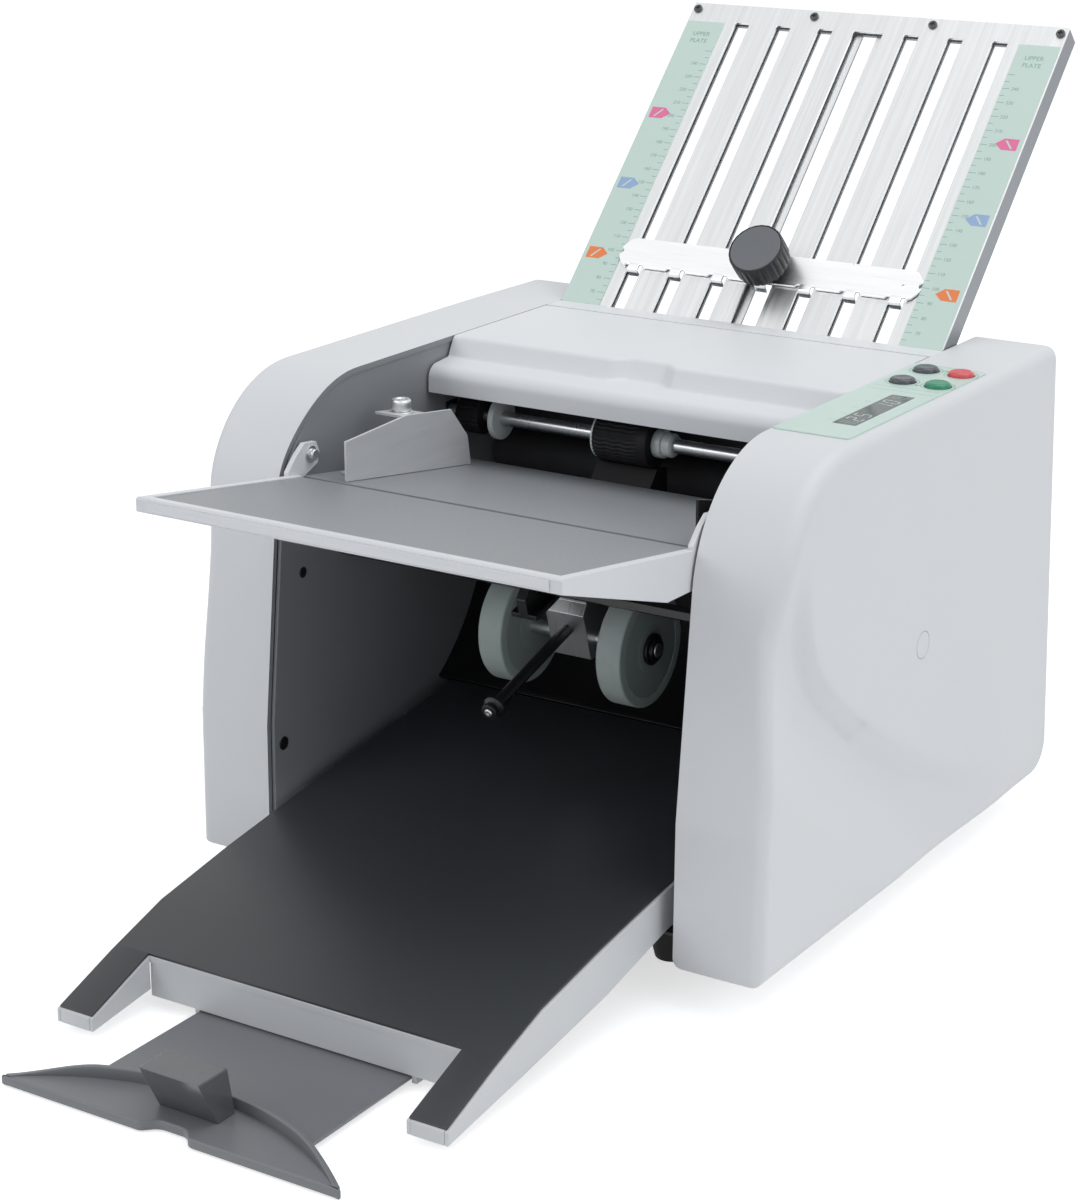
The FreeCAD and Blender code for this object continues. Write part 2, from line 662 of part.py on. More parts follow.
def roller_bushes():
    bushes = []
    for side, tag in ((1, "right"), (-1, "left")):
        for letter, (y, z) in ROLLERS.items():
            bushes.append(bush(f"bush_{letter}_{tag}", "journalRadius", side, y, z))
        bushes.append(bush(f"bush_feed_{tag}", "feedShaftRadius", side, "feedY", "feedZ"))
    return group("roller_bushes", bushes)


def feed_shaft():
    """Steel feed shaft with the last gear of the feed train pinned to its right end."""
    body = turned("feed_shaft", [
        (f"-{FRAME_OUT} - 2.5", TRAIN_START, "feedShaftRadius"),
        (TRAIN_START, f"{TRAIN_START} + trainWidth", root_radius("feedTeeth")),
    ])
    add_teeth(body, TRAIN_START, "trainWidth", "feedTeeth")
    return node(place(body, "0", "feedY", "feedZ", tilt="phaseFeed"), "feed_shaft")


def feed_rollers():
    """Ribbed rubber feed roller and the small end roller."""
    bore = "feedShaftRadius + runGap"
    main = turned("main_feed_roller", [("-feedRollerLeft", "feedRollerRight", "feedRollerRadius")], bore)
    groove = sketch_on(main, "YZ_Plane", "-feedRollerLeft - 1")
    outline(groove, [("feedRollerRadius - 1.2", "0"), ("feedRollerRadius + 1", "-1.3"),
                     ("feedRollerRadius + 1", "1.3")])
    cut = pocket(main, groove, "feedRollerLeft + feedRollerRight + 2", reverse=True)
    repeat_round(main, cut, int(value("feedRibs")))
    outer = "(-openingWidth / 2 + endRollerInset)"
    end = turned("end_feed_roller", [(outer, f"{outer} + endRollerWidth", "feedRollerRadius - 3")], bore)
    for body in (main, end):
        place(body, "0", "feedY", "feedZ")
    return group("feed_rollers", [main, end])


def feed_collars():
    """White plastic disc, collar and hub on the feed shaft."""
    place_of_disc = "(discInset - openingWidth / 2)"
    members = []
    for name, start, end, radius in (
            ("guide_disc", f"{place_of_disc} - discThickness", place_of_disc, "feedRollerRadius - 1.8"),
            ("thin_collar", "-feedRollerLeft - 3", "-feedRollerLeft - 0.3", "6.8"),
            ("roller_hub", "feedRollerRight + 0.3", "feedRollerRight + 12", "7.8")):
        body = turned(name, [(start, end, radius)], "feedShaftRadius + runGap")
        members.append(place(body, "0", "feedY", "feedZ"))
    return group("feed_collars", members)


def idler_gear():
    body = turned("idler_gear", [(TRAIN_START, f"{TRAIN_START} + trainWidth",
                                  root_radius("idlerTeeth"))], "studRadius + runGap")
    add_teeth(body, TRAIN_START, "trainWidth", "idlerTeeth")
    return node(place(body, "0", "idlerY", "idlerZ", tilt="phaseIdler"), "idler_gear")


def drive_motor():
    """Eight-sided motor bolted by its face to the left side frame."""
    body = new_body("drive_motor")
    can = sketch_on(body, "YZ_Plane", f"-{FRAME}")
    polygon(can, "0", "0", "motorRadius", 8)
    pad(body, can, "motorLength")
    boss = sketch_on(body, "YZ_Plane", f"-{FRAME} + motorLength")
    polygon(boss, "0", "0", "motorRadius * 0.4", 8)
    pad(body, boss, "6")
    bore = sketch_on(body, "YZ_Plane", f"-{FRAME}")
    circle(bore, "0", "0", "motorShaft + runGap")
    pocket(body, bore, "12", reverse=True)
    return node(place(body, "0", "motorY", "motorZ"), "drive_motor")


def motor_pulley():
    """Motor shaft with its belt pulley."""
    near = f"-{FRAME_OUT} - 2.5"
    body = turned("motor_pulley", [
        (f"{near} - 4 - beltWidth", near, "motorPulley"), (near, f"-{FRAME} + 11.7", "motorShaft"),
    ])
    return node(place(body, "0", "motorY", "motorZ"), "motor_pulley")


def belt_loop(grow):
    """Face of the loop round both pulleys, grown by the given distance."""
    spots = []
    for name, y, z in (("motorPulley", "motorY", "motorZ"), ("rollerPulley", "rollerY", "rollerZ")):
        spots.append((Vector(0, value(y), value(z)), value(name) + value("slipGap") + grow))
    (low, small), (high, large) = spots
    along = (high - low).normalize()
    swing = math.asin((large - small) / (high - low).Length)
    points = []
    for side in (1, -1):
        across = Vector(0, -along.z, along.y) * side
        normal = across * math.cos(swing) - along * math.sin(swing)
        points.append((low + normal * small, high + normal * large))
    wire = Part.Wire([
        Part.LineSegment(points[0][0], points[0][1]).toShape(),
        Part.Arc(points[0][1], high + along * large, points[1][1]).toShape(),
        Part.LineSegment(points[1][1], points[1][0]).toShape(),
        Part.Arc(points[1][0], low - along * small, points[0][0]).toShape(),
    ])
    return Part.Face(wire)


def drive_belt():
    """Flat belt from the motor to the middle fold roller."""
    belt = doc.addObject("Part::Feature", "drive_belt")
    ring = belt_loop(value("beltThickness")).cut(belt_loop(0))
    belt.Shape = ring.extrude(Vector(-value("beltWidth"), 0, 0))
    return node(place(belt, f"-{FRAME_OUT} - 4.2"), "drive_belt")


def frame_studs():
    """Studs on the side frames: idler, top cover hinge, feed table hinge, plates and tray."""
    lid_half = "(openingWidth / 2 - lidGap - lidWall - 1)"
    studs = [rod("idler_stud", "studRadius", FRAME_OUT, f"{TRAIN_START} + trainWidth + 2 - {FRAME_OUT}",
                 "idlerY", "idlerZ")]
    for tag, start in (("right", lid_half), ("left", f"-{FRAME}")):
        studs.append(rod(f"lid_stud_{tag}", "lidStud", start, f"{FRAME} - {lid_half}", "lidPivotY",
                         "lidPivotZ"))
    pairs = (
        ("table_stud", "(openingWidth / 2 - 5.5)", "tableHingeY", "tableHingeZ"),
        ("tray_stud", f"({TRAY_WIDTH} / 2)", "118", "64"),
        ("tray_front_stud", f"({TRAY_WIDTH} / 2)", "24", "50"),
        ("upper_plate_stud", f"({UPPER_WIDTH} / 2)", *local_spot("upper", "22", "-7")),
        ("upper_plate_rear_stud", f"({UPPER_WIDTH} / 2)", *local_spot("upper", "52", "-7")),
        ("lower_plate_stud", f"({LOWER_WIDTH} / 2)", *local_spot("lower", "34", "-7")),
        ("lower_plate_rear_stud", f"({LOWER_WIDTH} / 2)", *local_spot("lower", "84", "-7")),
    )
    for name, reach, y, z in pairs:
        length = f"{FRAME} - {reach}"
        kind = "Cylinder" if name == "table_stud" else "Prism"
        studs.append(rod(name + "_right", "studRadius", reach, length, y, z, kind))
        studs.append(rod(name + "_left", "studRadius", f"-{FRAME}", length, y, z, kind))
    return group("frame_studs", studs)


def local_spot(plate, along, up):
    """Datum Y and Z of a spot given along a fold plate and square to it."""
    if plate == "upper":
        angle, y, z, sign = "plateAngle", "mouthY", "mouthZ", "+"
    else:
        angle, y, z, sign = "lowerAngle", "lowerMouthY", "lowerMouthZ", "-"
    spin = "-" if sign == "+" else "+"
    return (f"({y} + ({along}) * cos({angle}) {spin} ({up}) * sin({angle}))",
            f"({z} {sign} ({along}) * sin({angle}) + ({up}) * cos({angle}))")


# ---------------------------------------------------------------- feed table


def rear_feed_table():
    """Fixed sheet-steel table between the side frames, with its flanges turned down."""
    half, start = "(openingWidth / 2 - 6)", "(tableSplit + 1.5)"
    body = slab("rear_feed_table", [
        (start, table_z(start)), ("tableRear", table_z("tableRear")),
        ("tableRear", f"{table_z('tableRear')} - sheetSteel"), (start, f"{table_z(start)} - sheetSteel"),
    ], "0", f"{half} * 2", symmetric=True)
    for edge in (f"{half} - sheetSteel", f"-{half}"):
        flange = sketch_on(body, "YZ_Plane", edge)
        outline(flange, [
            ("52", f"{table_z('52')} - 1"), ("126", f"{table_z('126')} - 1"),
            ("120", f"{table_z('126')} - 11"), ("60", f"{table_z('60')} - 11"),
        ])
        pad(body, flange, "sheetSteel")
    return node(place(body), "rear_feed_table")


def separator_pad():
    """Rubber separator pad on its ramp below the feed roller."""
    top = "(feedZ - feedRollerRadius - slipGap)"
    foot = f"({table_z('tableRear')} - 6)"
    body = slab("separator_pad", [
        ("tableRear + slipGap", foot), ("tableRear + slipGap", table_z("tableRear")),
        ("feedY - 3", top), ("feedY + 3", top), ("feedY + 8", f"{top} - 1"), ("feedY + 8", foot),
    ], "-26", "38")
    return node(place(body), "separator_pad")


def feed_table():
    """Folding front table: a moulded tray with wedge-shaped side flanges."""
    half = "(openingWidth / 2 - 1.4)"
    front, rear = "(-tableFront)", "tableSplit"
    top_front, top_rear = table_z(front), table_z(rear)
    body = slab("feed_table", [
        (front, f"{top_front} - 1"), (f"{front} + 1", top_front), (rear, top_rear),
        (f"{rear} - 7", f"{top_rear} - 19"), (f"{rear} - 33", f"{top_rear} - 18.5"),
        (front, f"{top_front} - 7.5"),
    ], "0", f"{half} * 2", symmetric=True)
    under = sketch_on(body, "YZ_Plane")
    outline(under, [
        (f"{front} + tableWall", f"{top_front} - tableWall - 0.6"),
        (f"{rear} + 1", f"{top_rear} - tableWall"), (f"{rear} + 1", f"{top_rear} - 40"),
        (f"{front} + tableWall", f"{top_rear} - 40"),
    ])
    pocket(body, under, f"({half} - tableWall) * 2", "Symmetric")
    recess = sketch_on(body, "YZ_Plane")
    outline(recess, [
        (f"{front} + 7", f"{table_z(front + ' + 7')} - 1"),
        (f"{rear} + 1", f"{table_z(rear + ' + 1')} - 1"),
        (f"{rear} + 1", f"{top_rear} + 9"), (f"{front} + 7", f"{top_front} + 9"),
    ])
    pocket(body, recess, f"({half} - 5) * 2", "Symmetric")
    foot = "(tableHingeY - 20)"
    for start in (f"{half} - 3", f"-{half}"):
        ear = sketch_on(body, "YZ_Plane", start)
        outline(ear, [
            (foot, f"{table_z(foot)} - 4"), ("tableSplit - 1", f"{table_z('(tableSplit - 1)')} - 4"),
            ("tableHingeY + 6", "tableHingeZ - 6"), ("tableHingeY + 8", "tableHingeZ"),
            ("tableHingeY + 5", "tableHingeZ + 6"), ("tableHingeY - 5", "tableHingeZ + 7"),
            ("tableHingeY - 12", "tableHingeZ + 2"), (foot, f"{table_z(foot)} + 2"),
        ])
        pad(body, ear, "3")
    bores = sketch_on(body, "YZ_Plane")
    circle(bores, "tableHingeY", "tableHingeZ", "studRadius + runGap")
    pocket(body, bores, "openingWidth", "Symmetric")
    return node(place(body), "feed_table")


def table_edge_strip():
    """Bright metal strip on the front table's leading edge."""
    front = "(-tableFront)"
    body = slab("table_edge_strip", [
        (f"{front} - 0.8", f"{table_z(front)} - 6.5"), (front, f"{table_z(front)} - 6.5"),
        (front, f"{table_z(front)} - 1.4"), (f"{front} - 0.8", f"{table_z(front)} - 1.4"),
    ], "0", "openingWidth - 16", symmetric=True)
    return node(place(body), "table_edge_strip")


def left_guide():
    """Stainless side guide: a cut fence with a foot on the table and a lug for its screw."""
    fence_y = ("22", "77", "119", "135")
    body = slab("left_guide", [
        (fence_y[0], f"{table_z(fence_y[0])} + slipGap"), ("138", f"{table_z('138')} + slipGap"),
        (fence_y[3], f"{table_z(fence_y[3])} + 17"), (fence_y[2], f"{table_z(fence_y[2])} + 33"),
        (fence_y[1], f"{table_z(fence_y[1])} + 32.5"), (fence_y[0], f"{table_z(fence_y[0])} + 22"),
    ], LEFT_FENCE, "1.5")
    foot = sketch_on(body, "YZ_Plane", f"{LEFT_FENCE} - 15.6")
    outline(foot, flat_strip("40", "130", "0"))
    pad(body, foot, "16")
    lug = sketch_on(body, "YZ_Plane", f"{LEFT_FENCE} - 17.6")
    outline(lug, flat_strip("screwY - 12", "screwY + 12", "30.5"))
    pad(body, lug, "18.5")
    bore = sketch_on(body, "XY_Plane", "bodyTop")
    circle(bore, f"{LEFT_FENCE} - screwOffset", "screwY", "clampScrew + runGap")
    pocket(body, bore, "80")
    return node(place(body), "left_guide")


def flat_strip(front, rear, lift):
    """Corners of a sheet strip that lies along the feed table, at a lift above its surface."""
    low = f"slipGap + {lift}"
    return [(front, f"{table_z(front)} + {low}"), (rear, f"{table_z(rear)} + {low}"),
            (rear, f"{table_z(rear)} + {low} + 1.5"), (front, f"{table_z(front)} + {low} + 1.5")]


def right_guide():
    """Black right guide: a plain fence on a foot."""
    body = slab("right_guide", [
        ("25", f"{table_z('25')} + slipGap"), ("140", f"{table_z('140')} + slipGap"),
        ("136", f"{table_z('136')} + 16"), ("44", f"{table_z('44')} + 21"), ("25", f"{table_z('25')} + 23"),
    ], f"{RIGHT_FENCE} - 1.5", "1.5")
    foot = sketch_on(body, "YZ_Plane", f"{RIGHT_FENCE} - 21")
    outline(foot, flat_strip("60", "100", "0"))
    pad(body, foot, "20")
    return node(place(body), "right_guide")


def guide_screw():
    """Thumb-screw through the left guide's lug and foot."""
    head_z = f"({table_z('screwY')} + 32 + slipGap + 0.9)"
    body = new_body("guide_screw")
    head = sketch_on(body, "XY_Plane")
    polygon(head, "0", "0", "clampScrew * 2.8", 16)
    pad(body, head, "6.5")
    shank = sketch_on(body, "XY_Plane")
    circle(shank, "0", "0", "clampScrew")
    pad(body, shank, f"{head_z} - {table_z('screwY')} - 0.5", reverse=True)
    return node(place(body, f"{LEFT_FENCE} - screwOffset", "screwY", head_z), "guide_screw")


# ---------------------------------------------------------------- fold plates


def slot_places():
    return ["slotPitch", "slotPitch * 2", "slotPitch * 3"]


def fold_plate_sheet(name, plate, width, length, top, thickness, mid_width):
    """Slotted sheet of a fold plate in the plate's own frame: X across, Y along, Z square to it."""
    body = new_body(name)
    sketch = sketch_on(body, "XY_Plane", top)
    rectangle(sketch, f"-{width} / 2", "0", f"{width} / 2", length)
    ends = ("slotStart", f"{length} - slotEnd")
    rectangle(sketch, f"-{mid_width} / 2", ends[0], f"{mid_width} / 2", ends[1])
    for x in slot_places():
        for side in ("", "-"):
            rectangle(sketch, f"{side}{x} - slotWidth / 2", ends[0], f"{side}{x} + slotWidth / 2", ends[1])
    pad(body, sketch, thickness, reverse=True)
    return node(lay_on_plate(body, plate), name)


def lay_on_plate(item, plate, along="0", up="0", across="0"):
    y, z = local_spot(plate, along, up)
    return place(item, across, y, z, tilt="plateAngle" if plate == "upper" else "-lowerAngle")


def fold_plate_frame(name, plate, width, length, start="0"):
    """Back sheet of a fold plate between its two side rails."""
    half, back = f"({width} / 2)", "(-plateSheet - plateGap)"
    sheet_body = new_body(name + "_sheet")
    slots = sketch_on(sheet_body, "XY_Plane", back)
    side = f"({half} - plateSheet)"
    rectangle(slots, f"-{side}", start, side, length)
    for x in ["0"] + [sign + x for x in slot_places() for sign in ("", "-")]:
        rectangle(slots, f"{x} - slotWidth / 2", "slotStart", f"{x} + slotWidth / 2",
                  f"{length} - slotEnd")
    pad(sheet_body, slots, "plateSheet", reverse=True)
    members = [lay_on_plate(sheet_body, plate)]
    for sign, tag in (("", "right"), ("-", "left")):
        rail = new_body(f"{name}_{tag}")
        sketch = sketch_on(rail, "XZ_Plane", f"-({length})")
        outline(sketch, [
            (f"{sign}{half}", "-plateSheet"), (f"{sign}{half}", "-plateDepth"),
            (f"{sign}({half} - plateSheet)", "-plateDepth"), (f"{sign}({half} - plateSheet)", back),
            (f"{sign}({half} - railWidth)", back), (f"{sign}({half} - railWidth)", "-plateSheet"),
        ])
        pad(rail, sketch, f"{length} - {start}")
        members.append(lay_on_plate(rail, plate))
    return group(name, members)


def scale_strips():
    """Two plain scale strips along the upper plate's sides."""
    strips = []
    for tag, left in (("right", f"{UPPER_WIDTH} / 2 - 26.5"), ("left", f"-{UPPER_WIDTH} / 2 + 0.5")):
        body = new_body(f"scale_strip_{tag}")
        sketch = sketch_on(body, "XY_Plane")
        rectangle(sketch, left, "6", f"{left} + 26", "plateLength - slotEnd - 1")
        pad(body, sketch, "scaleSheet")
        strips.append(lay_on_plate(body, "upper"))
    return group("upper_plate_scales", strips)


def plate_stop(name, plate, along):
    """Sliding fold stop: a stainless bar with one finger through each slot."""
    body = new_body(name)
    sketch = sketch_on(body, "XY_Plane", "stopLift")
    half, tall = "(stopWidth / 2)", "(stopTall / 2)"
    outline(sketch, [
        (f"-{half}", f"-{tall} + 1.5"), (f"-{half} + 3", f"-{tall}"), (f"{half} - 3", f"-{tall}"),
        (half, f"-{tall} + 1.5"), (half, f"{tall} - 3"), (f"{half} - 5", f"{tall} - 3"),
        (f"{half} - 5", f"{tall}"), (f"-{half} + 5", f"{tall}"), (f"-{half} + 5", f"{tall} - 3"),
        (f"-{half}", f"{tall} - 3"),
    ])
    pad(body, sketch, "stopSheet")
    finger = "(slotWidth - 2.4)"
    fingers = sketch_on(body, "XY_Plane", f"-plateSheet - plateGap")
    for x in ["0"] + [side + x for x in slot_places() for side in ("", "-")]:
        rectangle(fingers, f"{x} - {finger} / 2", f"-{tall} - 3.4", f"{x} + {finger} / 2", f"-{tall} - 1.9")
    pad(body, fingers, "plateSheet + plateGap + stopLift + stopSheet")
    lips = sketch_on(body, "XY_Plane", "stopLift")
    for x in ["0"] + [side + x for x in slot_places() for side in ("", "-")]:
        rectangle(lips, f"{x} - {finger} / 2", f"-{tall} - 3.4", f"{x} + {finger} / 2", f"-{tall} + 1")
    pad(body, lips, "stopSheet")
    bore = sketch_on(body, "XY_Plane", "stopLift + stopSheet + 1")
    circle(bore, "0", "0", "knobScrew + runGap")
    pocket(body, bore, "stopSheet + 2")
    return node(lay_on_plate(body, plate, along), name)


def clamp_knob(name, plate, along):
    """Fluted clamping knob with its screw and the clamping nut under the back sheet."""
    body = new_body(name)
    seat = "stopLift + stopSheet + slipGap"
    flutes = int(value("knobFlutes"))
    head = sketch_on(body, "XY_Plane", f"{seat} + 4")
    rim = []
    for number in range(flutes):
        middle = 360 / flutes * number
        rim += [(f"{grip} * cos({middle + turn})", f"{grip} * sin({middle + turn})")
                for grip, turn in (("knobRadius", -6), ("knobRadius", 6), ("(knobRadius - 1)", 10))]
    outline(head, rim)
    pad(body, head, "knobTall - 4")
    collar = sketch_on(body, "XY_Plane", seat)
    polygon(collar, "0", "0", "knobRadius * 0.55", 12)
    pad(body, collar, "4.5")
    shank = sketch_on(body, "XY_Plane", f"{seat} + 1")
    circle(shank, "0", "0", "knobScrew")
    pad(body, shank, f"{seat} + 1 + plateSheet * 2 + plateGap + 1.6", reverse=True)
    nut = sketch_on(body, "XY_Plane", "-plateSheet * 2 - plateGap - slipGap")
    polygon(nut, "0", "0", "slotWidth * 0.75", 6)
    pad(body, nut, "1.3", reverse=True)
    return node(lay_on_plate(body, plate, along), name)


# ---------------------------------------------------------------- delivery


TRAY_TOP = [
    ("trayRear", "trayRise + 21"), ("-2", "trayRise"), ("-60", "trayRise - 8.7"),
    ("-114", "trayRise - 18.5"), ("-153", "trayRise - 31"), ("-trayFront + 3", "trayRise - 46"),
]
TRAY_FOOT = [
    ("-trayFront", "trayRise - 48.5"), ("-trayFront", "trayRise - 51.5"),
    ("-127", "trayRise - 44.5"), ("-57", "trayRise - 34.5"), ("0", "trayRise - 22"),
    ("trayRear", "trayRise - 2"),
]


def delivery_tray():
    """Wedge-shaped delivery tray, hollow below, with hooked runners for the extension."""
    body = slab("delivery_tray", TRAY_TOP + TRAY_FOOT, "0", TRAY_WIDTH, symmetric=True)
    under = sketch_on(body, "YZ_Plane")
    lowered = [(y, f"{z} - 3") for y, z in TRAY_TOP[:-1]]
    outline(under, [("trayRear + 1", "-5")] + [("trayRear + 1", "trayRise + 18.1")] + lowered[1:]
            + [("-trayFront + 12", "trayRise - 48.8"), ("-trayFront + 12", "-5")])
    pocket(body, under, f"{TRAY_WIDTH} - 6", "Symmetric")
    for side in (1, -1):
        wall = sketch_on(body, "YZ_Plane", RUNNER if side > 0 else f"-{RUNNER} - 3")
        outline(wall, [
            ("-trayFront + 13", "1.4"), ("-trayFront + 60", "1.4"), ("-trayFront + 60", "trayRise - 28"),
            ("-153", "trayRise - 33"), ("-trayFront + 13", "trayRise - 43"),
        ])
        pad(body, wall, "3")
        lip = sketch_on(body, "YZ_Plane", f"{RUNNER} - 4" if side > 0 else f"-{RUNNER}")
        rectangle(lip, "-trayFront + 13", "1.4", "-trayFront + 60", "tongueFloor - slipGap")
        pad(body, lip, "4")
    return node(place(body), "delivery_tray")


RUNNER = "(tongueWidth / 2 + slipGap)"


def tray_liner():
    """Dark ribbed lining sheet on the tray's top."""
    raised = [(y, f"{z} + 1.2") for y, z in TRAY_TOP]
    body = slab("tray_liner", TRAY_TOP + raised[::-1], "0", f"{TRAY_WIDTH} - 3", symmetric=True)
    return node(place(body), "tray_liner")


def tray_extension():
    """Pull-out tray end: a crescent with a raised rim and a thumb notch, on a flat tongue."""
    body = new_body("tray_extension")
    half = "(endWidth / 2)"
    sketch = sketch_on(body, "XY_Plane", "0.4")
    outline(sketch, [
        (f"-{half}", "-endFront"), ("-14", "-endFront"), ("-9", "-endFront + 7", "22", -1),
        ("9", "-endFront + 7"), ("14", "-endFront"), (half, "-endFront", "endArc", 1),
    ])
    pad(body, sketch, "endThickness")
    rim = sketch_on(body, "XY_Plane", "endThickness")
    outline(rim, [
        (f"{half}", "-endFront", "endArc", 1), (f"-{half}", "-endFront"),
        (f"-{half} + 7", "-endFront + 0.6", "endArc - 1.5", -1), (f"{half} - 7", "-endFront + 0.6"),
    ])
    pad(body, rim, "endRim")
    tongue = sketch_on(body, "XY_Plane", "tongueFloor")
    rectangle(tongue, "-tongueWidth / 2", "-endFront + 20", "tongueWidth / 2", "-endFront + 128")
    pad(body, tongue, "sheetSteel")
    return node(place(body), "tray_extension")


def stop_block():
    """Clear smoked stop that leans forwards on the tray end."""
    body = new_body("stop_block")
    sketch = sketch_on(body, "YZ_Plane")
    floor = "(0.4 + endThickness)"
    outline(sketch, [
        ("-endFront + 18", floor), ("-endFront + 30.5", floor), ("-endFront + 26", f"{floor} + 25"),
        ("-endFront + 5", f"{floor} + 25"),
    ])
    pad(body, sketch, "stopBlockWidth", "Symmetric")
    hollow = sketch_on(body, "YZ_Plane")
    outline(hollow, [
        ("-endFront + 19.8", f"{floor} - 1"), ("-endFront + 28.7", f"{floor} - 1"),
        ("-endFront + 24", f"{floor} + 23"), ("-endFront + 7.6", f"{floor} + 23"),
    ])
    pocket(body, hollow, "stopBlockWidth - 3.6", "Symmetric")
    return node(place(body), "stop_block")


def delivery_chute():
    """Curved black guide that turns the paper down from the last rollers to the tray."""
    body = slab("delivery_chute", [
        ("chuteTopY", "chuteTopZ", "chuteArc", -1), ("trayRear + 1", "trayRise + 22.5"),
        ("trayRear + 2.2", "trayRise + 20.9", "chuteArc + sheetSteel", 1),
        ("chuteTopY + sheetSteel", "chuteTopZ"),
    ], "0", f"{FRAME} * 2 - slipGap * 2", symmetric=True)
    return node(place(body), "delivery_chute")


def on_carriage(item, along="0", up="0", across="0"):
    """Place a piece built in the carriage's frame: Y along the slide, Z square to it."""
    slope = "carriageSlope"
    return place(item, across, f"(wheelY + {along} * cos({slope}) - ({up}) * sin({slope}))",
                 f"(wheelZ + {along} * sin({slope}) + ({up}) * cos({slope}))", tilt=slope)


def carriage_rail():
    """Sloping rail for the wheel carriage, hung from two ties of its own."""
    body = slab("carriage_rail", [
        ("-50", "railDrop + 3"), ("50", "railDrop + 3"), ("48", "railDrop + 16"),
        ("44", "railDrop + 18.6"), ("34", "railDrop + 18.6"), ("24", "railDrop + 9"),
        ("-22", "railDrop + 9"), ("-30", "railDrop + 18.6"), ("-40", "railDrop + 18.6"),
        ("-50", "railDrop + 12"),
    ], "0", "6", symmetric=True)
    foot = sketch_on(body, "YZ_Plane")
    rectangle(foot, "-50", "railDrop", "50", "railDrop + 3")
    pad(body, foot, "16", "Symmetric")
    holes = sketch_on(body, "YZ_Plane")
    for along in ("-35", "39"):
        circle(holes, along, "railDrop + 12", "tieRadius + runGap")
    pocket(body, holes, "10", "Symmetric")
    return node(on_carriage(body), "carriage_rail")


def carriage_bracket():
    """Folded steel bracket that hangs on the rail and carries the wheel shaft."""
    body = slab("carriage_bracket", [
        ("-15", "-1"), ("-15", "27"), ("-10", "32"), ("-10", "railDrop + 5.2"), ("10", "railDrop + 5.2"),
        ("10", "12"), ("8", "-3"), ("-8", "-3"),
    ], "0", "24", symmetric=True)
    inside = sketch_on(body, "YZ_Plane")
    outline(inside, [
        ("-13.5", "-12"), ("-13.5", "28"), ("-8.5", "33"), ("-8.5", "railDrop - slipGap - 1.5"),
        ("14", "railDrop - slipGap - 1.5"), ("14", "-12"),
    ])
    pocket(body, inside, "21", "Symmetric")
    channel = sketch_on(body, "YZ_Plane")
    rectangle(channel, "-16", "railDrop - slipGap", "16", "railDrop + 3 + slipGap")
    pocket(body, channel, "16 + slipGap * 2", "Symmetric")
    neck = sketch_on(body, "YZ_Plane")
    rectangle(neck, "-16", "railDrop + 3", "16", "railDrop + 8")
    pocket(body, neck, "6 + slipGap * 2", "Symmetric")
    bores = sketch_on(body, "YZ_Plane")
    circle(bores, "-axleAhead", "axleRise", "wheelShaft + runGap")
    pocket(body, bores, "30", "Symmetric")
    return node(on_carriage(body), "carriage_bracket")


def pull_rod():
    """Black rod that pulls the carriage, with a collar and a bright tip."""
    body = new_body("pull_rod")
    sketch = sketch_on(body, "XZ_Plane", "15")
    circle(sketch, "0", "16.4", "pullRodRadius")
    pad(body, sketch, "pullRodLength")
    collar = sketch_on(body, "XZ_Plane", "15 + pullRodLength - 8")
    circle(collar, "0", "16.4", "pullRodRadius + 2")
    pad(body, collar, "6")
    return node(on_carriage(body), "pull_rod")


WHEELS_OUT = "(wheelSpacing / 2 + treadWidth / 2)"


def wheel_shaft():
    """Shaft of the delivery wheels with a twelve-sided boss at each end."""
    body = turned("wheel_shaft", [(f"-{WHEELS_OUT} - 0.3", f"{WHEELS_OUT} + 0.3", "wheelShaft")])
    for side in ("", "-"):
        boss = sketch_on(body, "YZ_Plane", f"{side}({WHEELS_OUT} + 0.3)")
        polygon(boss, "0", "0", "wheelShaft + 3", 12)
        pad(body, boss, "4.7", reverse=side == "-")
    return node(on_carriage(body, "-axleAhead", "axleRise"), "wheel_shaft")


def wheel_pair(name, layers, bore):
    """Two equal pieces on the wheel shaft. layers gives the width and the outline of each pad."""
    wheels = []
    for side, tag in (("", "right"), ("-", "left")):
        body = new_body(f"{name}_{tag}")
        for width, shape, radius, sides in layers:
            sketch = sketch_on(body, "YZ_Plane", f"{side}wheelSpacing / 2")
            shape(sketch, "0", "0", radius, *sides)
            if len(bore) == 2:
                polygon(sketch, "0", "0", *bore)
            else:
                circle(sketch, "0", "0", *bore)
            pad(body, sketch, width, "Symmetric")
        wheels.append(on_carriage(body, "-axleAhead", "axleRise"))
    return group(name, wheels)


def wheel_hubs():
    """Twelve-sided hubs, which key the tyres, with a boss on both faces."""
    return wheel_pair("wheel_hubs", [
        ("treadWidth - 6", polygon, "wheelRadius - tyreDepth", (12,)), ("treadWidth", polygon, "13", (12,)),
    ], ("wheelShaft + runGap",))


def delivery_tyres():
    return wheel_pair("delivery_tyres", [("treadWidth", circle, "wheelRadius", ())],
                      ("wheelRadius - tyreDepth + runGap * 2", 12))


# ---------------------------------------------------------------- controls and power


BUTTONS = {
    "start_button": (f"({INNER} + buttonOuter)", "buttonFront"),
    "stop_button": (f"({INNER} + buttonOuter)", "buttonRear"),
    "minus_button": (f"({INNER} + buttonInner)", "buttonFront"),
    "plus_button": (f"({INNER} + buttonInner)", "buttonRear"),
}


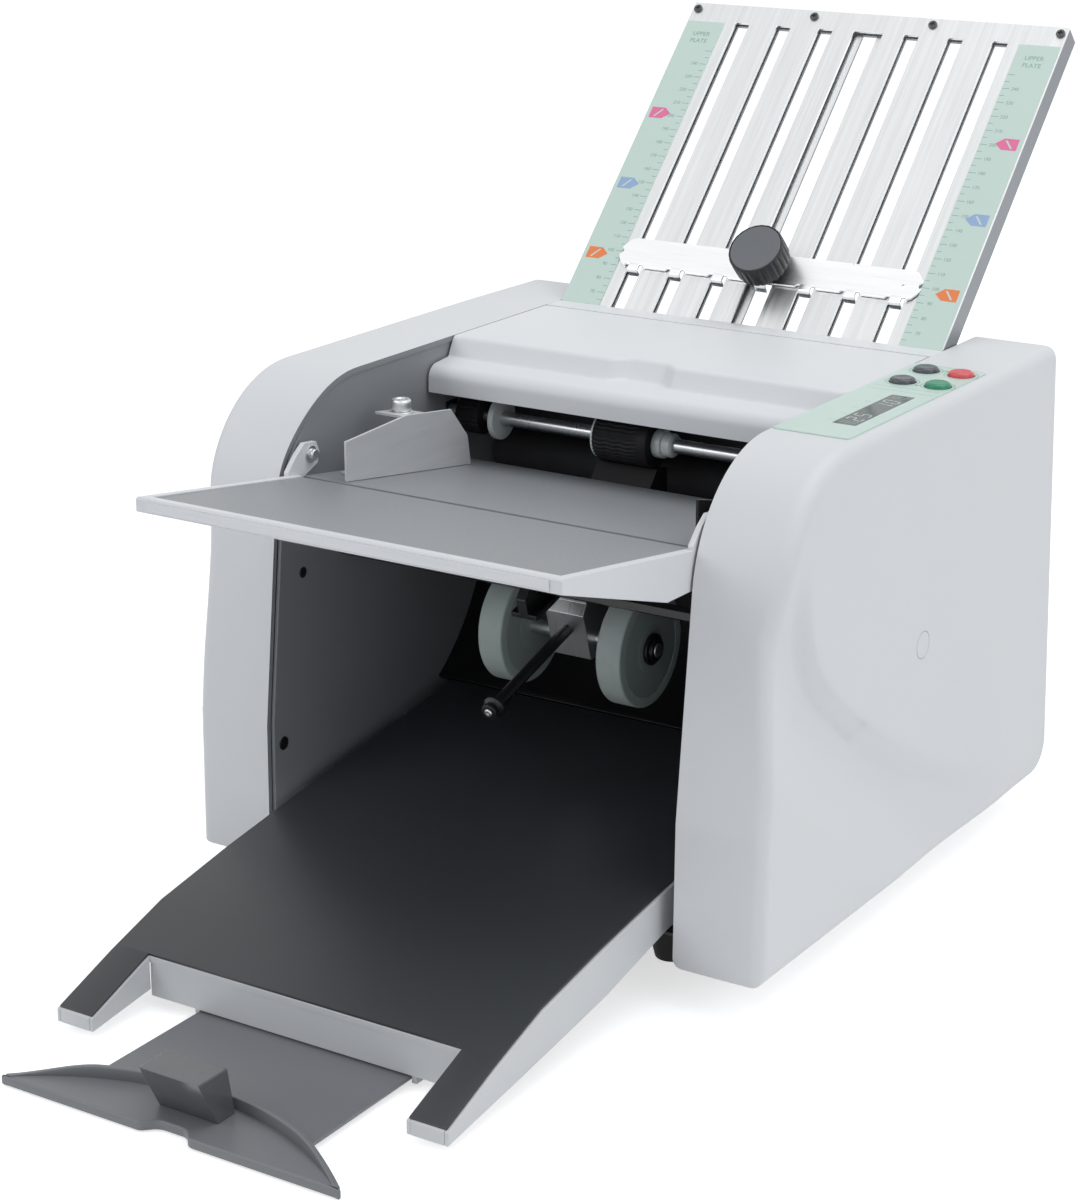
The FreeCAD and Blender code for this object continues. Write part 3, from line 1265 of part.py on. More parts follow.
def control_overlay():
    """Thin mint overlay on the right cover, cut out for the display and the buttons."""
    body = new_body("control_overlay")
    sketch = sketch_on(body, "XY_Plane", "bodyTop")
    rectangle(sketch, f"{INNER} + stripMargin", "stripFront", f"{INNER} + coverWidth - stripMargin",
              "stripFront + stripLength")
    rectangle(sketch, *display_edges("0"))
    for x, y in BUTTONS.values():
        polygon(sketch, x, y, "buttonRadius + slipGap * 2", 16)
    pad(body, sketch, "stripThickness")
    return node(place(body), "control_overlay")


def display_edges(grow):
    middle = f"({INNER} + buttonOuter - 6)"
    return (f"{middle} - 6.8 - {grow}", f"stripFront + 24 - {grow}",
            f"{middle} + 6.8 + {grow}", f"stripFront + 93 + {grow}")


def display_window():
    """Grey counter window set into the overlay."""
    body = new_body("display_window")
    sketch = sketch_on(body, "XY_Plane", "bodyTop")
    rectangle(sketch, *display_edges("(-runGap)"))
    pad(body, sketch, "stripThickness * 0.8")
    return node(place(body), "display_window")


def push_button(name):
    """Round push-button that slides in its hole in the cover."""
    x, y = BUTTONS[name]
    body = new_body(name)
    sketch = sketch_on(body, "XY_Plane", f"bodyTop - {BUTTON_DEPTH}")
    circle(sketch, "0", "0", "buttonRadius")
    pad(body, sketch, f"{BUTTON_DEPTH} + stripThickness + buttonTall")
    return node(place(body, x, y), name)


def switch_board():
    """Circuit board under the buttons with one switch body below each of them."""
    body = new_body("switch_board")
    gap = f"({BUTTON_DEPTH} + buttonTravel + slipGap)"
    sketch = sketch_on(body, "XY_Plane", f"bodyTop - {gap} - 5")
    rectangle(sketch, f"{FRAME_OUT}", "stripFront + 10", f"{OUTER} - 8", "stripFront + stripLength")
    pad(body, sketch, "1.6", reverse=True)
    switches = sketch_on(body, "XY_Plane", f"bodyTop - {gap} - 5")
    for x, y in BUTTONS.values():
        rectangle(switches, f"{x} - 4", f"{y} - 4", f"{x} + 4", f"{y} + 4")
    pad(body, switches, "5")
    return node(place(body), "switch_board")


def power_inlet():
    """Mains inlet in the rear panel: a flanged shell with three flat pins."""
    body = new_body("power_inlet")
    behind = "panRear + sheetSteel"
    flange = sketch_on(body, "XZ_Plane", f"-({behind}) - 2")
    rectangle(flange, "inletX - 17", "inletZ - 13", "inletX + 17", "inletZ + 13")
    pad(body, flange, "2")
    socket = sketch_on(body, "XZ_Plane", f"-({behind}) - 2")
    outline(socket, [
        ("inletX - 12", "inletZ - 8"), ("inletX + 12", "inletZ - 8"), ("inletX + 12", "inletZ + 3"),
        ("inletX + 7", "inletZ + 8"), ("inletX - 7", "inletZ + 8"), ("inletX - 12", "inletZ + 3"),
    ])
    return finish_inlet(body, socket)


def finish_inlet(body, socket):
    shell = sketch_on(body, "XZ_Plane", "-panRear")
    rectangle(shell, "inletX - 13.5", "inletZ - 9.5", "inletX + 13.5", "inletZ + 9.5")
    pad(body, shell, "18")
    through = sketch_on(body, "XZ_Plane", "-panRear - sheetSteel")
    rectangle(through, "inletX - 13.5", "inletZ - 9.5", "inletX + 13.5", "inletZ + 9.5")
    pad(body, through, "sheetSteel")
    pocket(body, socket, "17", reverse=True)
    pins = sketch_on(body, "XZ_Plane", "-panRear + 15.5")
    for x, z in (("-7", "-2"), ("0", "2"), ("7", "-2")):
        rectangle(pins, f"inletX + {x} - 1", f"inletZ + {z} - 2", f"inletX + {x} + 1", f"inletZ + {z} + 2")
    pad(body, pins, "13", reverse=True)
    return node(place(body), "power_inlet")


def power_rocker():
    """Rocker switch beside the inlet, on a pivot across its own width."""
    body = new_body("power_rocker")
    sketch = sketch_on(body, "YZ_Plane")
    outline(sketch, [
        ("-6", "-8"), ("-6", "8"), ("2", "9.5"), ("4.8", "9.2"), ("2.6", "0"), ("2.4", "-9.2"),
        ("1.6", "-9.5"),
    ])
    pad(body, sketch, "12", "Symmetric")
    return node(place(body, "rockerX", "panRear + sheetSteel", "inletZ"), "power_rocker")


def write_parts():
    """Check every object, then write each piece's shape under its own name."""
    doc.recompute()
    for item in doc.Objects:
        if "Invalid" in item.State or "Error" in item.State:
            raise RuntimeError(f"{item.Name}: {item.State}")
    for item in NODES:
        if item.Shape.isNull() or not item.Shape.isValid():
            raise RuntimeError(f"{item.Label}: no valid shape")
    os.makedirs("parts", exist_ok=True)
    for item in NODES:
        item.Shape.exportStep(f"parts/{item.Label}.step")


side_covers()
side_frame(1, "right_side_frame")
side_frame(-1, "left_side_frame")
base_pan()
rubber_feet()
rear_panel()
cross_ties()
top_cover()
top_bridge()
for roller in "ABCD":
    fold_roller(roller)
roller_bushes()
feed_shaft()
feed_rollers()
feed_collars()
idler_gear()
drive_motor()
motor_pulley()
drive_belt()
frame_studs()
rear_feed_table()
separator_pad()
feed_table()
table_edge_strip()
left_guide()
right_guide()
guide_screw()
fold_plate_sheet("upper_plate_sheet", "upper", UPPER_WIDTH, "plateLength", "0", "plateSheet", "midSlot")
fold_plate_frame("upper_plate_frame", "upper", UPPER_WIDTH, "plateLength")
scale_strips()
plate_stop("upper_stop", "upper", "stopPlace")
clamp_knob("upper_knob", "upper", "stopPlace")
fold_plate_sheet("lower_plate_sheet", "lower", LOWER_WIDTH, "lowerLength", "0", "plateSheet", "midSlot")
fold_plate_frame("lower_plate_frame", "lower", LOWER_WIDTH, "lowerLength", "10")
plate_stop("lower_stop", "lower", "lowerStopPlace")
clamp_knob("lower_knob", "lower", "lowerStopPlace")
delivery_tray()
tray_liner()
tray_extension()
stop_block()
delivery_chute()
carriage_rail()
carriage_bracket()
pull_rod()
wheel_shaft()
wheel_hubs()
delivery_tyres()
control_overlay()
display_window()
for button in BUTTONS:
    push_button(button)
switch_board()
power_inlet()
power_rocker()
write_parts()
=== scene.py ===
"""Looks of a desk paper folding machine: covers, fold plates, rollers, wheels and controls.

Lengths are millimetres on the machine's own datum: X across, Y from the covers' front to the
rear, Z up from the desk. place() turns them into the frame's metres.
"""

import json
import math

import bmesh
import bpy
from bpy.props import FloatProperty, FloatVectorProperty, IntProperty, PointerProperty
from mathutils import Matrix, Vector


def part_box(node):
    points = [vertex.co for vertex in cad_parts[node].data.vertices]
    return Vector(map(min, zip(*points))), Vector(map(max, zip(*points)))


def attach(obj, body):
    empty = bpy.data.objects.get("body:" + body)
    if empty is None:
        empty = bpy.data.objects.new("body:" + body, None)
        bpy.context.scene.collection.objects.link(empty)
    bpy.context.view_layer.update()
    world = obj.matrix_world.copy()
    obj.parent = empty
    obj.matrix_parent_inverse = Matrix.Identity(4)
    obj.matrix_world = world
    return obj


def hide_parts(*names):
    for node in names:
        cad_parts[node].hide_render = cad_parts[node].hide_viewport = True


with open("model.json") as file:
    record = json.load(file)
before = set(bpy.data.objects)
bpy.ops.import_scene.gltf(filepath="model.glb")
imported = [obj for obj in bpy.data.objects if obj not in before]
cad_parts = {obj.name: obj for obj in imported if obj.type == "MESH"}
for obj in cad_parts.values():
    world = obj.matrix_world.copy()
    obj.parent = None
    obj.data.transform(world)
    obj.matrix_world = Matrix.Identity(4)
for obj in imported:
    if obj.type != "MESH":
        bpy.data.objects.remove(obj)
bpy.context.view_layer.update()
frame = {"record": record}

bl_info = {
    "name": "Paper Folding Machine",
    "version": (1, 0, 0),
    "blender": (4, 5, 0),
    "location": "View3D > Sidebar > Paper Folder",
    "description": "Builds the visible pieces and finishes of a desk paper folding machine",
    "category": "Object",
}

# ---------------------------------------------------------------- places taken from the frame

JOINTS = {joint["name"]: joint for joint in frame["record"]["behaviour"]["joints"]}
SLOTS = {part["node"]: part["material_slot"] for part in frame["record"]["subparts"]}
MM = 0.001
# Datum Y of the middle fold roller's axis, which ties the datum to the frame.
ROLLER_Y = 221.0
DATUM_Y = JOINTS["fold_roller_b_spin"]["pos_m"][1] - ROLLER_Y * MM
# Half width between the covers, height of their tops and Y of the rear panel's outside.
INNER, BODY_TOP, REAR_WALL = 125.4, 279.5, 326.0


def place(x, y, z):
    """A spot of the machine's datum as a vector in the frame."""
    return Vector((x * MM, y * MM + DATUM_Y, z * MM))


def datum():
    """Matrix from the datum's millimetres to the frame's metres."""
    return Matrix.Translation((0, DATUM_Y, 0)) @ Matrix.Scale(MM, 4)


def axes_at(origin, x_axis, z_axis):
    """Matrix with its origin at a frame point, X and Z along the given directions, in mm."""
    x_axis, z_axis = Vector(x_axis).normalized(), Vector(z_axis).normalized()
    turn = Matrix((x_axis, z_axis.cross(x_axis), z_axis)).transposed().to_4x4()
    return Matrix.Translation(origin) @ turn @ Matrix.Scale(MM, 4)


def plate_axes(which):
    """Frame of a fold plate at its stop: X across, Y along the plate, Z out of its face."""
    knob = JOINTS[f"{which}_knob_turn"]
    return axes_at(knob["pos_m"], (1, 0, 0), knob["axis"])


def carriage_axes():
    """Frame of the wheel carriage: X across, Y up its slope to the rear, Z square to it."""
    slide = Vector(JOINTS["carriage_slide"]["axis"])
    return axes_at(JOINTS["wheel_spin"]["pos_m"], (1, 0, 0), Vector((1, 0, 0)).cross(-slide))


def roller_axes(joint):
    """Frame of a turning piece, with Z along the machine's X from its middle."""
    spot = Vector(JOINTS[joint]["pos_m"])
    return axes_at((0, spot.y, spot.z), (0, 1, 0), (1, 0, 0))


# ---------------------------------------------------------------- outlines


def corner_arc(before, corner, after, radius, steps):
    """Points of the round that replaces a corner between two straight runs."""
    before, corner, after = Vector(before), Vector(corner), Vector(after)
    if radius <= 0:
        return [corner.copy() for _ in range(steps + 1)]
    back, ahead = (before - corner).normalized(), (after - corner).normalized()
    half = back.angle(ahead) / 2
    longest = 0.49 * min((before - corner).length, (after - corner).length)
    reach = min(radius / math.tan(half), longest)
    radius = reach * math.tan(half)
    centre = corner + (back + ahead).normalized() * (radius / math.sin(half))
    start, end = corner + back * reach - centre, corner + ahead * reach - centre
    sweep = start.angle_signed(end)
    return [centre + Matrix.Rotation(-sweep * step / steps, 2) @ start for step in range(steps + 1)]


def neighbours(points):
    """Each point of a closed outline with the ones before and after it."""
    return [(points[k - 1], points[k], points[(k + 1) % len(points)]) for k in range(len(points))]


def mirrored(corners):
    """Corners of the other half of an outline that is the same to the left and right."""
    return [(-x, y, radius) for x, y, radius in reversed(corners)]


def rounded(corners, steps):
    """A closed outline with a round at each corner. corners are (x, y) or (x, y, radius)."""
    points = []
    for before, corner, after in neighbours(corners):
        radius = corner[2] if len(corner) > 2 else 0
        if radius:
            points += corner_arc(before[:2], corner[:2], after[:2], radius, steps)
        else:
            points.append(Vector(corner[:2]))
    return points


def disc(radius, count=48, x=0.0, y=0.0):
    """A round outline."""
    turns = [2 * math.pi * k / count for k in range(count)]
    return [Vector((x + radius * math.cos(turn), y + radius * math.sin(turn))) for turn in turns]


def window(left, bottom, right, top, radius=0.0, steps=4):
    """A rectangular outline with rounded corners."""
    corners = ((left, bottom), (right, bottom), (right, top), (left, top))
    return rounded([(x, y, radius) for x, y in corners], steps)


def smooth(low, high, value):
    """0 below low, 1 above high and an even S between them."""
    t = min(max((value - low) / (high - low), 0.0), 1.0)
    return t * t * (3 - 2 * t)


def area(points):
    """Area of an outline, negative where it runs clockwise."""
    return sum(a.x * b.y - b.x * a.y for a, b in zip(points, points[1:] + points[:1])) / 2


# ---------------------------------------------------------------- meshes


def mesh_object(name, bm, matrix=Matrix()):
    """Turn a bmesh into a shown object, its vertices moved by the matrix."""
    bm.transform(matrix)
    bmesh.ops.recalc_face_normals(bm, faces=bm.faces)
    mesh = bpy.data.meshes.new(name)
    bm.to_mesh(mesh)
    bm.free()
    piece = bpy.data.objects.new(name, mesh)
    bpy.context.scene.collection.objects.link(piece)
    return piece


def move_new(bm, start, matrix):
    """Move the vertices that came after the first ones."""
    bm.verts.ensure_lookup_table()
    bmesh.ops.transform(bm, matrix=matrix, verts=bm.verts[start:])


def add_loft(bm, rings, capped=True):
    """Skin equal rings of points one after another."""
    rows = [[bm.verts.new(point) for point in ring] for ring in rings]
    count = len(rows[0])
    for low, high in zip(rows, rows[1:]):
        for k in range(count):
            after = (k + 1) % count
            bm.faces.new((low[k], low[after], high[after], high[k]))
    if capped:
        bm.faces.new(rows[0])
        bm.faces.new(rows[-1])
    return rows


def add_turned(bm, corners, count=64, matrix=Matrix(), steps=4):
    """A turned solid about Z. corners are (radius, height) or (radius, height, round) and start
    and end on the axis or, for a ring, close on themselves."""
    rounds = any(len(corner) > 2 for corner in corners)
    profile = turned_profile(corners, steps) if rounds else corners
    start, rows = len(bm.verts), []
    for radius, height in profile:
        edge = disc(radius, count) if radius else [Vector((0, 0))]
        rows.append([bm.verts.new((spot.x, spot.y, height)) for spot in edge])
    closing = [(rows[-1], rows[0])] if profile[0][0] > 0 else []
    for low, high in list(zip(rows, rows[1:])) + closing:
        for k in range(count):
            corners = [low[k % len(low)], low[(k + 1) % len(low)], high[(k + 1) % len(high)],
                       high[k % len(high)]]
            bm.faces.new(list(dict.fromkeys(corners)))
    move_new(bm, start, matrix)


def turned_profile(corners, steps):
    """Round the inner corners of a turned profile. corners are (radius, height, round)."""
    points = [Vector(corners[0][:2])]
    for before, corner, after in zip(corners, corners[1:], corners[2:]):
        if len(corner) > 2 and corner[2]:
            points += corner_arc(before[:2], corner[:2], after[:2], corner[2], steps)
        else:
            points.append(Vector(corner[:2]))
    points.append(Vector(corners[-1][:2]))
    return [(max(point.x, 0.0), point.y) for point in points]


def wavy_ring(count, height, grip):
    """Points about Z at a height; grip gives the radius at each turn."""
    turns = [2 * math.pi * step / count for step in range(count)]
    return [(grip(turn) * math.cos(turn), grip(turn) * math.sin(turn), height) for turn in turns]


def add_fluted(bm, profile, count, flutes, matrix=Matrix()):
    """A turned solid whose radius dips between flutes. profile is (radius, height, dip)."""
    start, rings = len(bm.verts), []
    for radius, height, dip in profile:
        rings.append(wavy_ring(
            count, height, lambda turn: radius - dip * max(math.cos(turn * flutes), 0)))
    add_loft(bm, rings)
    move_new(bm, start, matrix)


def add_curve(bm, curve, *moves):
    """Add the filled mesh of a curve, moved by each matrix in turn; the curve itself goes."""
    holder = bpy.data.objects.new("outline", curve)
    mesh = bpy.data.meshes.new_from_object(holder)
    for move in moves:
        mesh.transform(move)
    bm.from_mesh(mesh)
    bpy.data.objects.remove(holder)
    bpy.data.meshes.remove(mesh)
    bpy.data.curves.remove(curve)


def add_sheet(bm, loops, low, high, edge=0.0, matrix=Matrix()):
    """A flat piece with holes between two heights, its edges rounded by the edge radius."""
    curve = bpy.data.curves.new("outline", "CURVE")
    curve.dimensions, curve.fill_mode = "2D", "BOTH"
    curve.extrude, curve.bevel_depth = (high - low) / 2 - edge, edge
    curve.bevel_resolution, curve.offset = 2, -edge
    for number, loop in enumerate(loops):
        points = [Vector(point) for point in loop]
        if (area(points) > 0) == (number > 0):
            points.reverse()
        spline = curve.splines.new("POLY")
        spline.points.add(len(points) - 1)
        for spot, point in zip(spline.points, points):
            spot.co = (point.x, point.y, 0, 1)
        spline.use_cyclic_u = True
    add_curve(bm, curve, Matrix.Translation((0, 0, (low + high) / 2)), matrix)


def side_turn(x=0.0):
    """Matrix that lays an outline of (Y, Z) in the datum, extruded along X from x."""
    return Matrix(((0, 0, 1, x), (1, 0, 0, 0), (0, 1, 0, 0), (0, 0, 0, 1)))


def add_bar(bm, left, bottom, right, top, low, high):
    """A thin printed bar."""
    add_sheet(bm, [window(left, bottom, right, top)], low, high)


def add_letters(bm, text, height, matrix):
    """Printed letters or numerals of a height."""
    words = bpy.data.curves.new("numerals", "FONT")
    words.body, words.size, words.extrude = text, height * 1.42, 0.02
    words.align_x, words.align_y = "CENTER", "CENTER"
    add_curve(bm, words, matrix)


def bevel(piece, width):
    """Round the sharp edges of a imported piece."""
    soft = piece.modifiers.new("edges", "BEVEL")
    soft.width, soft.segments = width * MM, 2
    soft.limit_method, soft.angle_limit = "ANGLE", math.radians(SHARP_TURN)
    soft.harden_normals = True


def finish(piece, body, slot, replaces=(), angle=32.0, coat=None):
    """Give a piece its finish and the body that it rides on. It is smooth but for edges that turn
    more than the angle."""
    piece.data.materials.append(coat or finish_of(slot))
    piece.data.shade_smooth()
    piece.data.set_sharp_from_angle(angle=math.radians(angle))
    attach(piece, body)
    if replaces:
        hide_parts(*replaces)


def show(name, bm, axes, body, slot, *replaces, angle=32.0, coat=None):
    """Finish a new piece that was drawn in millimetres in the given axes."""
    finish(mesh_object(name, bm, axes), body, slot, replaces, angle, coat)


# ---------------------------------------------------------------- colours and node building


def linear(code):
    """An sRGB hex colour as linear red, green, blue."""
    parts = [int(code[k:k + 2], 16) / 255 for k in (1, 3, 5)]
    return [p / 12.92 if p <= 0.04045 else ((p + 0.055) / 1.055) ** 2.4 for p in parts]


def tone(colour):
    """Linear colour of a hex code, or of a colour setting, which is linear already."""
    return linear(colour) if colour.startswith("#") else list(getattr(look(), colour))


def add(tree, kind, settings=None, feeds=(), **links):
    """Add a node. settings are its own values or its inputs' values; feeds reach its inputs in
    order and links reach them by name."""
    built = tree.nodes.new(kind)
    for key, setting in (settings or {}).items():
        if isinstance(key, str) and hasattr(built, key):
            setattr(built, key, setting)
        else:
            built.inputs[key].default_value = setting
    for socket, output in zip(built.inputs, feeds):
        tree.links.new(output, socket)
    for key, output in links.items():
        tree.links.new(output, built.inputs[key])
    return built


def per_mm(size):
    """Noise or wave scale whose features are about this many millimetres across."""
    return 1 / (size * MM)


def start_material(name, colour, roughness, **values):
    """A named material with its shader's even values set."""
    made = bpy.data.materials.new(name)
    made.use_nodes = True
    tree = made.node_tree
    shader = tree.nodes["Principled BSDF"]
    shader.inputs["Base Color"].default_value = (*colour, 1)
    shader.inputs["Roughness"].default_value = roughness
    for key, setting in values.items():
        shader.inputs[key.replace("_", " ")].default_value = setting
    return made, tree, shader


def spots(tree):
    """The object's own coordinates."""
    return add(tree, "ShaderNodeTexCoord").outputs["Object"]


def stretched(tree, lengths, detail):
    """Noise whose features have these lengths in mm along X, Y and Z."""
    scale = [per_mm(length) for length in lengths]
    mapped = add(tree, "ShaderNodeMapping", {"Scale": scale}, Vector=spots(tree))
    return add(tree, "ShaderNodeTexNoise", {"Scale": 1.0, "Detail": detail},
               Vector=mapped.outputs["Vector"]).outputs["Fac"]


def shade(tree, shader, colour, factor, spread):
    """Vary the base colour by up to the spread, darker and lighter, with a factor of 0 to 1."""
    dark = [c * (1 - spread) for c in colour]
    light = [min(c * (1 + spread), 1) for c in colour]
    ramp = add(tree, "ShaderNodeMix", {"data_type": "RGBA"})
    ramp.inputs["A"].default_value = (*dark, 1)
    ramp.inputs["B"].default_value = (*light, 1)
    tree.links.new(factor, ramp.inputs["Factor"])
    tree.links.new(ramp.outputs["Result"], shader.inputs["Base Color"])


def roughen(tree, shader, factor, low, high):
    """Vary the roughness between two values."""
    spread = add(tree, "ShaderNodeMapRange", {"To Min": low, "To Max": high}, Value=factor)
    tree.links.new(spread.outputs["Result"], shader.inputs["Roughness"])


def dent(tree, shader, height, depth):
    """Bump of the given depth in millimetres."""
    bump = add(tree, "ShaderNodeBump", {"Distance": depth * MM}, Height=height)
    tree.links.new(bump.outputs["Normal"], shader.inputs["Normal"])


def texture(tree, size, detail):
    """Noise of a size in mm, read at the object's own coordinates."""
    return add(tree, "ShaderNodeTexNoise", {"Scale": per_mm(size), "Detail": detail},
               Vector=spots(tree)).outputs["Fac"]


def grained(name, code, roughness, cloud, mottle, grain, swing, depth, **values):
    """A finish whose colour drifts with soft clouds while a finer grain moves gloss and height.
    cloud and grain are a size in mm and a detail, swing how far the gloss falls and rises."""
    colour = tone(code)
    made, tree, shader = start_material(name, colour, roughness, **values)
    shade(tree, shader, colour, texture(tree, *cloud), mottle)
    fine = texture(tree, *grain)
    roughen(tree, shader, fine, roughness - swing[0], roughness + swing[1])
    dent(tree, shader, fine, depth)
    return made


def moulded(name, code, roughness, grain, depth, mottle=0.012, **values):
    """Injection-moulded plastic: an even colour with a fine spark-eroded grain."""
    return grained(name, code, roughness, (60, 3), mottle, (grain, 3), (0.05, 0.06), depth,
                   **values)


def coated(name, code, roughness, peel, depth):
    """Powder coat on sheet steel: even colour with a soft orange peel."""
    return grained(name, code, roughness, (80, 2), 0.04, (peel, 1), (0.06, 0.08), depth, IOR=1.5)


def rubber(name, code, roughness, grain, depth):
    """Cured rubber: matt, with ground or moulded grain and a little dust."""
    return grained(name, code, roughness, (9, 3), 0.10, (grain, 4), (0.08, 0.12), depth,
                   Specular_IOR_Level=0.3)


def brushed(name, code, roughness, sizes, depth, spread, **values):
    """Brushed or rolled metal. sizes are the streaks' lengths in mm along X, Y and Z."""
    colour = tone(code)
    made, tree, shader = start_material(name, colour, roughness, **{"Metallic": 1.0, **values})
    streaks = stretched(tree, sizes, 3.0)
    broad = stretched(tree, [7 * size for size in sizes], 2.0)
    half = add(tree, "ShaderNodeMath", {"operation": "MULTIPLY_ADD", 1: 0.5, 2: 0.0}, (streaks,))
    both = add(tree, "ShaderNodeMath", {"operation": "MULTIPLY_ADD", 1: 0.5}, (broad,))
    tree.links.new(half.outputs[0], both.inputs[2])
    shade(tree, shader, colour, both.outputs[0], spread)
    roughen(tree, shader, streaks, roughness - 0.10, roughness + 0.12)
    dent(tree, shader, streaks, depth)
    return made


def smoked(name):
    """Clear smoked polystyrene, moulded and polished: grey, glossy and half see-through."""
    colour = linear("#66696c")
    made, tree, shader = start_material(name, colour, 0.14, IOR=1.59, Transmission_Weight=0.2)
    shade(tree, shader, colour, texture(tree, 9, 2), 0.08)
    roughen(tree, shader, texture(tree, 12, 2), 0.10, 0.2)
    return made


# Each finish: the real material and how its surface was made, then what that gives the eye. A row
# holds its maker, name, colour (a hex code or a setting), numbers and any further shader values.
ABS = {"IOR": 1.52}
RECIPES = {
    # ABS moulded in a spark-eroded tool: near white, satin, with a grain that breaks highlights.
    "cover_white": (moulded, "eroded_abs_white", "cover", 0.48, 0.9, 0.020, ABS),
    # The same ABS with a slightly finer grain on the hinged lid.
    "lid_white": (moulded, "eroded_abs_lid", "lid", 0.46, 0.8, 0.016, ABS),
    # ABS tray and table mouldings in a light grey, worn a little smoother.
    "table_plastic": (moulded, "moulded_abs_table", "table", 0.42, 1.0, 0.018, ABS),
    "tray_plastic": (moulded, "moulded_abs_tray", "tray", 0.44, 1.0, 0.018, ABS),
    # Powder-coated sheet steel inside: mid grey satin that darkens with the shade.
    "inner_grey": (coated, "powder_coat_grey", "inner", 0.42, 1.6, 0.03),
    # Black powder coat: satin, catches a broad soft highlight.
    "black_steel": (coated, "powder_coat_black", "#141416", 0.32, 1.4, 0.02),
    # Zinc-plated steel: pale, a little cloudy, with faint rolling lines.
    "zinc_steel": (brushed, "zinc_plated_steel", "#c9cbcd", 0.30, (0.8, 14, 14), 0.004, 0.16),
    # Stainless sheet brushed along the paper's way: bright, long fine streaks.
    "stainless": (brushed, "brushed_stainless", "steel", 0.36, (0.5, 45, 45), 0.005, 0.22),
    # Zinc sheet under clear lacquer: more even than bare zinc, with upright streaks. It is paler than
    # bare zinc as painted light that stands for light bounced onto the guide.
    "lacquered_zinc": (brushed, "lacquered_zinc_sheet", "#d3d5d8", 0.5, (14, 14, 0.7), 0.004,
                       0.12, {"Metallic": 0.3, "Coat_Weight": 0.2}),
    # Anodised aluminium rails: grey, very fine die lines along their length.
    "rail_aluminium": (brushed, "anodised_aluminium", "#8d9195", 0.40, (0.6, 60, 60), 0.004,
                       0.06),
    # Moulded natural rubber, matt black.
    "black_rubber": (rubber, "moulded_rubber_black", "#17171a", 0.62, 0.5, 0.02),
    # Ground silicone rubber tyres: pale grey-green, matt, with fine grinding marks.
    "grey_rubber": (rubber, "ground_silicone_tyre", "tyre", 0.66, 0.5, 0.02),
    # Ground fold-roller rubber.
    "roller_rubber": (rubber, "ground_rubber_roller", "#38383b", 0.58, 0.4, 0.015),
    # Glass-filled nylon, black: satin with a coarse moulded grain.
    "black_plastic": (moulded, "moulded_nylon_black", "#161719", 0.36, 0.7, 0.02),
    # Textured ABS, dark grey, on the tray's lining.
    "dark_plastic": (moulded, "textured_abs_dark", "lining", 0.40, 0.6, 0.02, ABS),
    # ABS, mid grey, on the tray's end.
    "grey_plastic": (moulded, "moulded_abs_mid_grey", "tray_end", 0.40, 0.8, 0.018, ABS),
    # Acetal turned or moulded white: smooth, slightly waxy.
    "white_plastic": (moulded, "moulded_acetal_white", "#dfe6e3", 0.32, 1.2, 0.008,
                      {"Subsurface_Weight": 0.08, "Subsurface_Scale": 0.002}),
    # Screen-printed polycarbonate film: even mint, with a fine matt texture.
    "mint_film": (moulded, "printed_film_mint", "film", 0.38, 0.35, 0.006, 0.006, {"IOR": 1.58}),
    # Grey-tinted acrylic over the counter: glossy and dark.
    "display_glass": (moulded, "tinted_acrylic", "display", 0.10, 4.0, 0.001, 0.01,
                      {"IOR": 1.49}),
    # Clear grey polystyrene of the stop block, polished in its mould.
    "smoked_clear": (smoked, "moulded_smoked_polystyrene"),
    # Acetal buttons: glossy domes with a moulded sheen.
    "button_green": (moulded, "moulded_acetal_green", "start", 0.24, 0.8, 0.004),
    "button_red": (moulded, "moulded_acetal_red", "stop", 0.24, 0.8, 0.004),
    "button_dark": (moulded, "moulded_acetal_dark", "#4d5258", 0.26, 0.8, 0.004),
    # Green solder mask over glass-fibre laminate.
    "board_green": (moulded, "solder_mask_green", "#1c5a34", 0.30, 1.5, 0.01),
}


def ink(name, code, roughness=0.45):
    """Screen-printing ink: flat colour with a slight tooth from the mesh."""
    return moulded(name, code, roughness, 0.25, 0.004, 0.02)


def extra(name, recipe, *values, **shine):
    """A finish by its name, made the first time that it is asked for."""
    return bpy.data.materials.get(name) or recipe(name, *values, **shine)


def finish_of(slot):
    """The finish of a material slot."""
    recipe, name, *values = RECIPES[slot]
    shine = values.pop() if values and isinstance(values[-1], dict) else {}
    return extra(name, recipe, *values, **shine)


def grey_ink():
    """Ink of the scales and of the control film's lines."""
    return extra("screen_ink_grey", ink, "#8fb0a8")


def bright_nickel():
    """Turned brass under bright nickel, with very faint turning marks."""
    return extra("turned_bright_nickel", brushed, "#d6d8d9", 0.34, (6, 6, 6), 0.001, 0.04)


def look():
    """The colours and lamps that a user may change."""
    return bpy.context.scene.folder_look


def sizes():
    """The counts that a user may change."""
    return bpy.context.scene.folder_sizes


# ---------------------------------------------------------------- side covers

# The cover's outline in Y, Z and radius, with the number of steps of each corner's round.
COVER_CORNERS = ((-8, 20, 2.5), (-7, 98, 0), (12.5, 279.5, 72), (334, 279.5, 9), (352, 20, 20))
COVER_STEPS = (4, 1, 22, 7, 9)
# Half widths of the raised field and of the valley, and the round of the cover's inner lip.
PROUD, RECESSED, HEEL = 175.7, 169.2, 6.5
# Lower edge of the raised field in Y and Z.
FIELD_EDGE = ((4, 330), (20, 262), (27, 232), (29.5, 204), (41, 170), (78, 136), (132, 100),
              (195, 68), (263, 40), (336, 16), (400, -4))
# How far the rings of the cover's skin lie inside its outline.
COVER_DEPTHS = (0, 0.25, 0.7, 1.4, 2.4, 3.7, 5.2, 7, 9, 11.5, 14.5, 18, 21.5, *range(25, 119, 3))
RING_SPACING, LIP_REACH = 4.5, 3.4
PLUG_SPOT = (163.8, 151.1)


